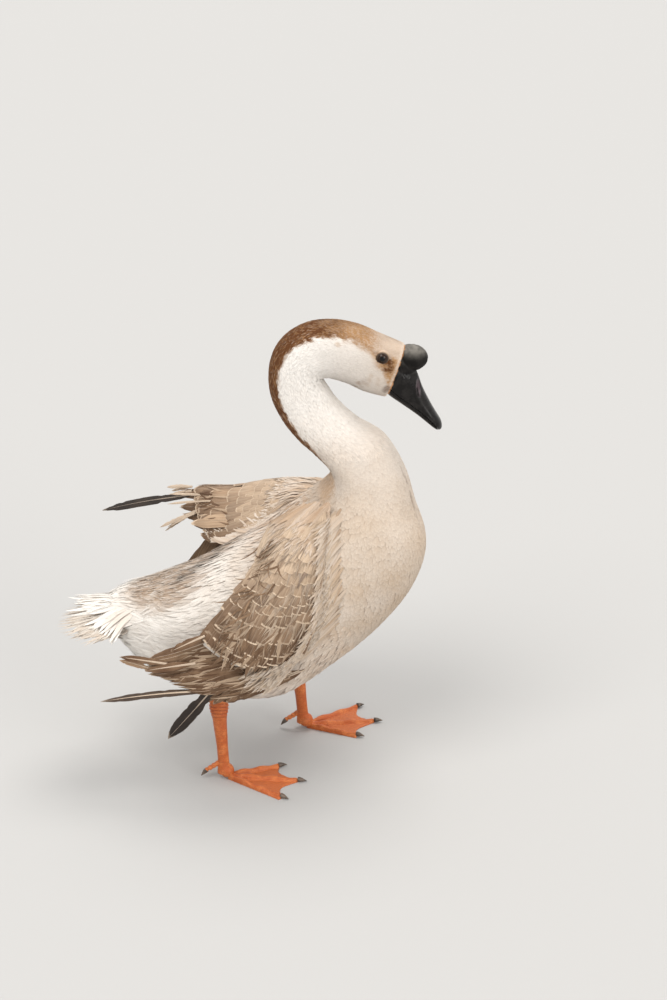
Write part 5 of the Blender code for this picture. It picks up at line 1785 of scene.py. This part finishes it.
def make_right_fluff():
    fluff = Coat("shoulder_fluff_right")
    strands(fluff, RIGHT_WING, 54, (0.6, 0.54, 0.48, 0.42, 0.36, 0.31, 0.26, 0.21, 0.16, 0.11, 0.06), 0.0058,
        0.062, 0.0027, 12, shoulder_marks, low=0.09, high=1.0, yaw=sweep, spread=0.1, bend=0.18,
        rise=(0.55, 1.15), lift=0.03, fray=0.1, widest=0.35)
    # curled wisps along the wing's rear edge
    strands(fluff, RIGHT_WING, 55, np.linspace(0.96, 0.34, 15), 0.003, 0.046, 0.0013, 12, curl_marks, low=0.9,
        high=1.16, yaw=0.62, spread=0.2, bend=1.0, rise=(0.3, 1.6), lift=0.16, widest=0.35, loose=0.6)
    strands(fluff, RIGHT_WING, 94, np.linspace(0.76, 0.36, 11), 0.0052, 0.056, 0.0026, 12, plume_marks,
        low=0.04, high=0.6, yaw=sweep, spread=0.1, bend=0.16, rise=(0.55, 1.15), lift=0.02, fray=0.1,
        widest=0.35, loose=0.6)
    strands(fluff, RIGHT_WING, 56, (0.76, 0.7, 0.64, 0.58, 0.52), 0.0066, 0.056, 0.0017, 12, plume_marks,
        low=0.15, high=1.0, yaw=sweep, spread=0.12, bend=0.22, rise=(0.7, 1.2), lift=0.03, widest=0.35,
        loose=0.6)
    # narrow ragged feathers that cross the coverts' lower edge
    strands(fluff, RIGHT_WING, 104, (1.12, 1.06, 1.0, 0.94), 0.0046, 0.046, 0.0025, 10, edge_marks, low=0.1,
        high=0.98, yaw=0.12, spread=0.14, bend=0.25, rise=(0.8, 1.25), lift=0.02, fray=0.08, loose=0.6)
    fluff.build(WING_PLUMAGE, "plumage_buff")
    # plumage of the flank and the neck's base that spills over the wing's front and top
    spill = Coat("spill_right")
    strands(spill, RIGHT_WING, 88, (0.26, 0.21, 0.16, 0.11, 0.06), 0.0042, 0.04, 0.003, 9, spill_marks,
        low=0.08, high=1.04, yaw=sweep, spread=0.12, bend=0.2, rise=(0.0, 1.35), lift=0.03, fray=0.1,
        before=0.12, beside=0.14)
    spill.build(BODY_PLUMAGE, "plumage_buff")
    fringe = Coat("ruffle_right")
    ruffle(fringe, 95)
    fringe.build(BREAST_PLUMAGE, "plumage_buff")
    # white plumage of the back, puffed up against the inner side of the wing
    puff = Coat("puff_right")
    edge_plumes(puff, RIGHT_LINING, 97, (0.1, 1.0), (0.55, 0.99), 8, 110, 0.046, -0.3, (1.6, 1.1),
        half_width=0.0029, buff=0.15, barred=0.1)
    puff.build(BODY_PLUMAGE, "plumage_white")


def make_right_flight():
    flight = Coat("flight_right")
    rng = np.random.default_rng(57)
    places = np.linspace(0.02, 1.0, 15)
    ends = np.interp(places, (0, 0.4, 0.5, 0.76, 0.86, 1.0), (1.0, 1.0, 0.66, 0.6, 0.86, 0.8))
    sheet_remiges(flight, RIGHT_VANES, 58, -0.3, ends + rng.uniform(-0.08, 0.05, 15), places, 0.0078, 0.0,
        dark=rng.uniform(0.55, 0.95, 15), pale=0.05, edged=0.4, splits=0.1)
    strands(flight, RIGHT_VANES, 92, (0.98, 0.9, 0.82, 0.74, 0.66), 0.0044, 0.044, 0.0026, 10, wisp_marks,
        low=0.34, high=0.8, spread=0.1, bend=0.15, rise=(1.5, 3.0), widest=0.35)
    strands(flight, RIGHT_VANES, 59, (0.8, 0.7, 0.6, 0.5, 0.38, 0.26, 0.14, 0.02), 0.0055, 0.046, 0.0018,
        10, wisp_marks, low=0.0, high=1.06, spread=0.16, bend=0.35, rise=(1.0, 2.2), lift=0.05, widest=0.35)
    # three loose secondaries with straw-coloured shafts
    remiges(flight, [(-0.112, -0.111, 0.184), (-0.07, -0.114, 0.224), (-0.082, -0.112, 0.186)],
        [(-0.171, -0.113, 0.195), (-0.111, -0.116, 0.204), (-0.143, -0.114, 0.177)], (0.0042, 0.005, 0.005),
        (0, -1, 0.6), 61, dark=0.8, edged=0.2, shaft=1.0, thick=0.0014)
    # grey feathers that hang over the top of the leg
    remiges(flight, [(-0.006, -0.1, 0.16), (-0.02, -0.101, 0.158), (-0.034, -0.102, 0.155),
        (-0.046, -0.102, 0.15)], [(-0.03, -0.106, 0.136), (-0.046, -0.107, 0.13), (-0.062, -0.107, 0.128),
        (-0.08, -0.107, 0.13)], 0.0062, (0, -1, 0.2), 60, rings=12, columns=8, dark=0.75, pale=0.05,
        edged=0.3)
    flight.build(WING_PLUMAGE, "plumage_brown", "wing_right_flight")
    long_feather("wing_right_primary_1", 63, PRIMARY_PLUMAGE, dark=0.35, edged=0.25, shaft=1.0, thick=0.0017)
    long_feather("wing_right_primary_2", 64, PRIMARY_PLUMAGE, dark=1.0, edged=0.25, shaft=0.5)
    long_feather("wing_right_primary_3", 65, WING_PLUMAGE, dark=0.2, edged=0.25, shaft=0.9)


def left_marks(f, c, points, rng):
    rear = smooth(f, 0.45, 0.85)
    dark = 0.2 + 0.3 * rear + 0.22 * smooth(c, 0.55, 0.9) * rear + 0.22 * swirl(points, 0.03, 43)
    pale = 0.62 * (1 - rear) + 0.12
    return all_marks(len(f), dark=held(dark), pale=pale, edged=0.45, shaft=0.12)


def make_left_coverts():
    coat = Coat("coverts_left")
    tiles(coat, LEFT_WING, 71, (1.02, 0.93, 0.84, 0.75, 0.66, 0.57), 0.0125, 0.044, 0.0088, 12, 8, left_marks,
        low=0.03, high=0.99, lift=0.01, notch=0.01, rounding=0.05, rise=(0.5, 1.0),
        shape=paddle(12, tip=0.8, from_end=0.15))
    tiles(coat, LEFT_WING, 72, (0.5, 0.44, 0.38, 0.32, 0.26, 0.2, 0.14, 0.08, 0.02), 0.0095, 0.03, 0.007, 8,
        5, left_marks, low=0.02, high=0.99, spread=0.1, lift=0.02, notch=0.02, rounding=0.06, rise=(0.5, 1.0))
    tiles(coat, LEFT_LINING, 73, (0.98, 0.86, 0.74, 0.62, 0.5, 0.38, 0.26, 0.14), 0.0125, 0.036, 0.0085, 6,
        4, lining_marks, rise=(0.3, 0.8))
    coat.build(WING_PLUMAGE, "plumage_brown", "wing_left_coverts")


def make_left_fluff():
    fluff = Coat("shoulder_fluff_left")
    strands(fluff, LEFT_WING, 74, (0.4, 0.34, 0.28, 0.22, 0.16, 0.1, 0.04), 0.0062, 0.05, 0.0027, 10,
        shoulder_marks, low=0.35, high=1.02, yaw=0.1, spread=0.1, bend=0.15, rise=(0.95, 1.25), lift=0.01,
        fray=0.12)
    # ragged narrow feathers past the wing's rear edge
    strands(fluff, LEFT_WING, 75, (1.1, 1.02, 0.94), 0.0052, 0.044, 0.002, 10, wisp_marks, low=0.3,
        high=1.0, yaw=0.05, spread=0.18, bend=0.4, rise=(0.5, 1.6), lift=0.07)
    fluff.build(WING_PLUMAGE, "plumage_buff")

    # plumage of the neck's base and the back that runs over the wing's front and inner edge
    spill = Coat("spill_left")
    edge_plumes(spill, LEFT_WING, 89, (0.02, 0.3), (0.0, 1.02), 6, 80, 0.036, 0.0, (2.0, 1.5), buff=0.8,
        barred=0.3)
    edge_plumes(spill, LEFT_WING, 96, (0.1, 1.0), (0.97, 1.06), 4, 80, 0.036, -0.25, (1.6, 1.4), buff=0.7,
        barred=0.3)
    edge_plumes(spill, LEFT_LINING, 98, (0.15, 0.95), (0.3, 0.98), 6, 80, 0.044, 0.1, (1.6, 1.4), buff=0.15,
        barred=0.1)
    spill.build(BODY_PLUMAGE, "plumage_buff")


def make_left_flight():
    flight = Coat("flight_left")
    rng = np.random.default_rng(76)
    sheet_remiges(flight, LEFT_WING, 77, 0.35, 1.06 + rng.uniform(-0.08, 0.05, 17),
        np.linspace(0.02, 0.98, 17), 0.008, -0.0015, dark=0.65, pale=0.05, edged=0.5)
    # secondaries that hang from its outer edge along the flank
    roots = row_of((0.04, 0.127, 0.236), (-0.03, 0.15, 0.226), 10)
    tips = row_of((-0.05, 0.104, 0.14), (-0.14, 0.11, 0.176), 10)
    remiges(flight, roots, tips + rng.normal(0, 0.002, tips.shape), 0.0086, (0, 1, 0.25), 99, bow=0.05,
        dark=0.55, pale=0.15, edged=0.5)
    # and more of them from under the coverts' rear rim, folded in against the flank
    c = np.linspace(0.03, 0.38, 15)
    roots, _, _, normal = LEFT_LINING.at(np.full(15, 0.64), c)
    tips = row_of((-0.137, 0.109, 0.18), (-0.096, 0.1, 0.2), 15)
    remiges(flight, roots - SHIFT + normal * 0.003, tips + rng.normal(0, 0.0015, tips.shape), 0.0088,
        (0, 1, 0.4), 103, bow=0.04, dark=0.5, pale=0.15, edged=0.5)
    # a broad smooth tertial low on the inner side, and straw-coloured pin feathers behind it
    remiges(flight, [(-0.004, 0.056, 0.296), (-0.016, 0.058, 0.284)],
        [(-0.094, 0.086, 0.276), (-0.08, 0.078, 0.27)], 0.0098, (0, -0.8, 1), 78, rings=22, columns=12,
        dark=0.1, pale=0.3, edged=0.7, splits=0.01, shaft=0.5)
    remiges(flight, [(-0.07, 0.1, 0.3), (-0.068, 0.096, 0.298), (-0.07, 0.096, 0.294),
        (-0.072, 0.112, 0.302)], [(-0.124, 0.104, 0.294), (-0.128, 0.102, 0.265),
        (-0.112, 0.1, 0.273), (-0.122, 0.116, 0.302)], 0.0017, (0, -0.8, 1), 79, rings=14, columns=4,
        pale=1.0, white=0.15, edged=0.0, shaft=1.0, thick=0.0013)
    flight.build(WING_PLUMAGE, "plumage_brown", "wing_left_flight")
    long_feather("wing_left_primary_1", 80, PRIMARY_PLUMAGE, dark=0.95, edged=0.2, shaft=0.3)
    for number, (name, (root, tip)) in enumerate(PIN_FEATHERS.items()):
        coat = Coat(name.replace("wing_", "feather_"))
        root, tip = np.array(root), np.array(tip)
        tips = np.array([tip, tip + (0.006, 0.002, -0.006), tip + (0.01, -0.003, 0.002)])
        roots = np.array([root, root + (-0.002, 0.002, -0.002), root + (0.0, -0.003, 0.0)])
        remiges(coat, roots, tips, (0.0024, 0.0018, 0.0018), (0, -1, 1), 81 + number, rings=14, columns=6,
            dark=0.15, pale=0.85, white=0.2, shaft=1.0, bow=0.05, splits=0.2)
        coat.build(WING_PLUMAGE, "plumage_buff", name)


def white_marks(f, c, points, rng):
    return all_marks(len(f), white=0.55 + 0.42 * rng.random(len(f)), pale=0.5)


def thigh_marks(f, c, points, rng):
    buff = 0.45 + 0.2 * rng.random(len(f))
    return {"buff": buff, "tan": 0.12 * smooth(f, 0.8, 1.0), "brown": 0.0 * f, "dark": 0.0 * f}


def make_tail():
    coat = Coat("tail_feathers")
    rng = np.random.default_rng(91)
    count = 14
    c = np.linspace(0.02, 0.98, count)
    order = np.abs(2 * c - 1)
    rings, columns = 16, 10
    s = np.linspace(0, 1, rings)
    reach = -0.25 + (1.22 + rng.uniform(-0.06, 0.03, count))[:, None] * s[None]
    place, _, _, normal = TAIL_TOP.at(reach, np.repeat(c[:, None], rings, 1))
    level = (1 - order)[:, None] * 0.003 * (1 - 0.6 * s)[None] - 0.0008
    spine = place + normal * level[..., None]
    shape = np.interp(s, (0, 0.2, 0.55, 0.85, 1.0), (0.3, 0.6, 1.0, 0.86, 0.4))
    x = np.linspace(-1, 1, columns + 1)
    centre = (1 - np.abs(x) ** 1.3)[None, None] * band(s, 0.1, 0.4, 0.8, 0.98)[None, :, None]
    shares = all_marks(count, dark=0.2, pale=0.3, edged=0.3, shaft=0.4)
    shares["white"] = held(0.95 - 0.55 * centre * rng.uniform(0.2, 1.0, (count, 1, 1)))
    shares["tone"] = np.full(count, 1.0)
    cut = rng.uniform(-0.05, 0.05, (count, columns + 1))
    rag = rng.uniform(-0.25, 0.05, (count, rings, columns + 1))
    coat.add(spine, normal, 0.0112, shape, (c, rng.random(count)), shares, columns, 0.14, 0.1, cut, rag)
    strands(coat, TAIL_TOP, 92, (1.17, 1.1, 1.03, 0.96, 0.88, 0.8, 0.72, 0.64, 0.56, 0.48, 0.4, 0.32),
        0.0044, 0.066, 0.0023, 12, white_marks, low=-0.02, high=1.02, spread=0.1, bend=0.14, rise=(0.8, 1.6),
        lift=0.04, fray=0.1)
    strands(coat, TAIL_UNDER, 93, (1.0, 0.86, 0.72, 0.58, 0.44, 0.3, 0.16), 0.0056, 0.056, 0.003, 9,
        white_marks, low=0.0, high=1.0, spread=0.1, bend=0.14, rise=(0.8, 2.4), lift=0.03, fray=0.1)
    coat.build(WING_PLUMAGE, "plumage_white", "tail")

    # plumes from the body's end that fill in round the tail's root
    coverts = Coat("tail_coverts")
    for seed, surface, sides in ((105, TAIL_TOP, (-0.02, 0.28)), (106, TAIL_TOP, (0.72, 1.02)),
            (107, TAIL_UNDER, (-0.02, 0.4)), (108, TAIL_UNDER, (0.6, 1.02))):
        edge_plumes(coverts, surface, seed, (0.22, 0.88), sides, 3, 45, 0.058, 0.0, (3.0, 1.5),
            half_width=0.0027, buff=0.1, barred=0.05)
    coverts.build(BODY_PLUMAGE, "plumage_white")


def make_thighs():
    for k, side in enumerate(FEET):
        coat = Coat(f"coat_thigh_{side}")
        strands(coat, THIGH_SURFACES[side], 101 + k, np.linspace(1.02, 0.1, 17), 0.0036, 0.0135, 0.0026, 5,
            thigh_marks, low=-math.pi, high=math.pi, spread=0.15, bend=0.2, rise=(0.2, 1.0), lift=0.05,
            loose=0.1)
        coat.build(BODY_PLUMAGE, "plumage_white")


# ---------------------------------------------------------------- stage
def make_stage():
    bpy.ops.mesh.primitive_plane_add(size=40.0, location=(0, 0, 0))
    floor = bpy.context.object
    floor.name = "floor"
    made, _, shader = new_material("floor_paint", 0.9, specular=0.1)
    shader.inputs["Base Color"].default_value = colour(0.445, 0.442, 0.436)
    floor.data.materials.append(made)
    world = bpy.data.worlds.new("studio")
    bpy.context.scene.world = world
    world.use_nodes = True
    background = world.node_tree.nodes["Background"]
    background.inputs["Color"].default_value = colour(0.99, 0.985, 0.98)
    background.inputs["Strength"].default_value = 0.84
    # lamps as wide and far off as windows: where each shines from, and how strongly
    for name, place, strength, tint in (("key", (-1.35, -1.7, 3.0), 1.6, (1.0, 0.975, 0.94)),
            ("top", (0.55, 0.9, 2.9), 1.5, (1.0, 0.97, 0.93)),
            ("fill", (2.55, -2.4, 1.1), 1.25, (1.0, 0.975, 0.94))):
        light = bpy.data.lights.new(name, "SUN")
        light.angle, light.energy, light.color = math.radians(34), strength, tint
        lamp = bpy.data.objects.new(name, light)
        bpy.context.scene.collection.objects.link(lamp)
        lamp.location = place
        lamp.rotation_mode = "QUATERNION"
        lamp.rotation_quaternion = (-Vector(place)).to_track_quat("-Z", "Y")
    bpy.context.scene.view_settings.view_transform = "Standard"


def make_camera():
    target = Vector(CAMERA_TARGET) + Vector(SHIFT)
    tilt = math.radians(CAMERA_TILT)
    back = Vector((0, -math.cos(tilt), math.sin(tilt)))
    camera = bpy.data.objects.new("camera", bpy.data.cameras.new("camera"))
    bpy.context.scene.collection.objects.link(camera)
    camera.location = target + back * CAMERA_DISTANCE
    camera.rotation_mode = "QUATERNION"
    camera.rotation_quaternion = (-back).to_track_quat("-Z", "Y")
    camera.data.lens = CAMERA_LENS
    bpy.context.scene.camera = camera


HEAD_PLUMAGE = plumage("head_plumage", 6.0, 0.02, shaft_light=0.0, sheen=0.02, streaks=0.12, stained=0.06,
    white=colour(0.845, 0.82, 0.785), brown=colour(0.12, 0.044, 0.013))
BREAST_PLUMAGE = plumage("breast_plumage", 9.0, 0.08, shaft_light=0.0, streaks=0.1, stained=0.05,
    white=colour(0.735, 0.71, 0.68), buff=colour(0.505, 0.395, 0.293))
BODY_PLUMAGE = plumage("body_plumage", 14.0, 0.18)
WING_PLUMAGE = wing_plumage("wing_plumage", ground=colour(0.42, 0.278, 0.17),
    deep=colour(0.122, 0.062, 0.031))
PRIMARY_PLUMAGE = wing_plumage("primary_plumage", ground=colour(0.1, 0.065, 0.045),
    deep=colour(0.022, 0.016, 0.013))
BILL_HORN = bill_material()
CLAW_HORN = claw_material()
EYE = eye_material()

make_camera()
make_stage()
make_skin()
make_eyes()
make_upper_bill()
make_lower_bill()
make_claws()
make_body_coats()
make_right_coverts()
make_right_fluff()
make_right_flight()
make_left_coverts()
make_left_fluff()
make_left_flight()
make_tail()
make_thighs()
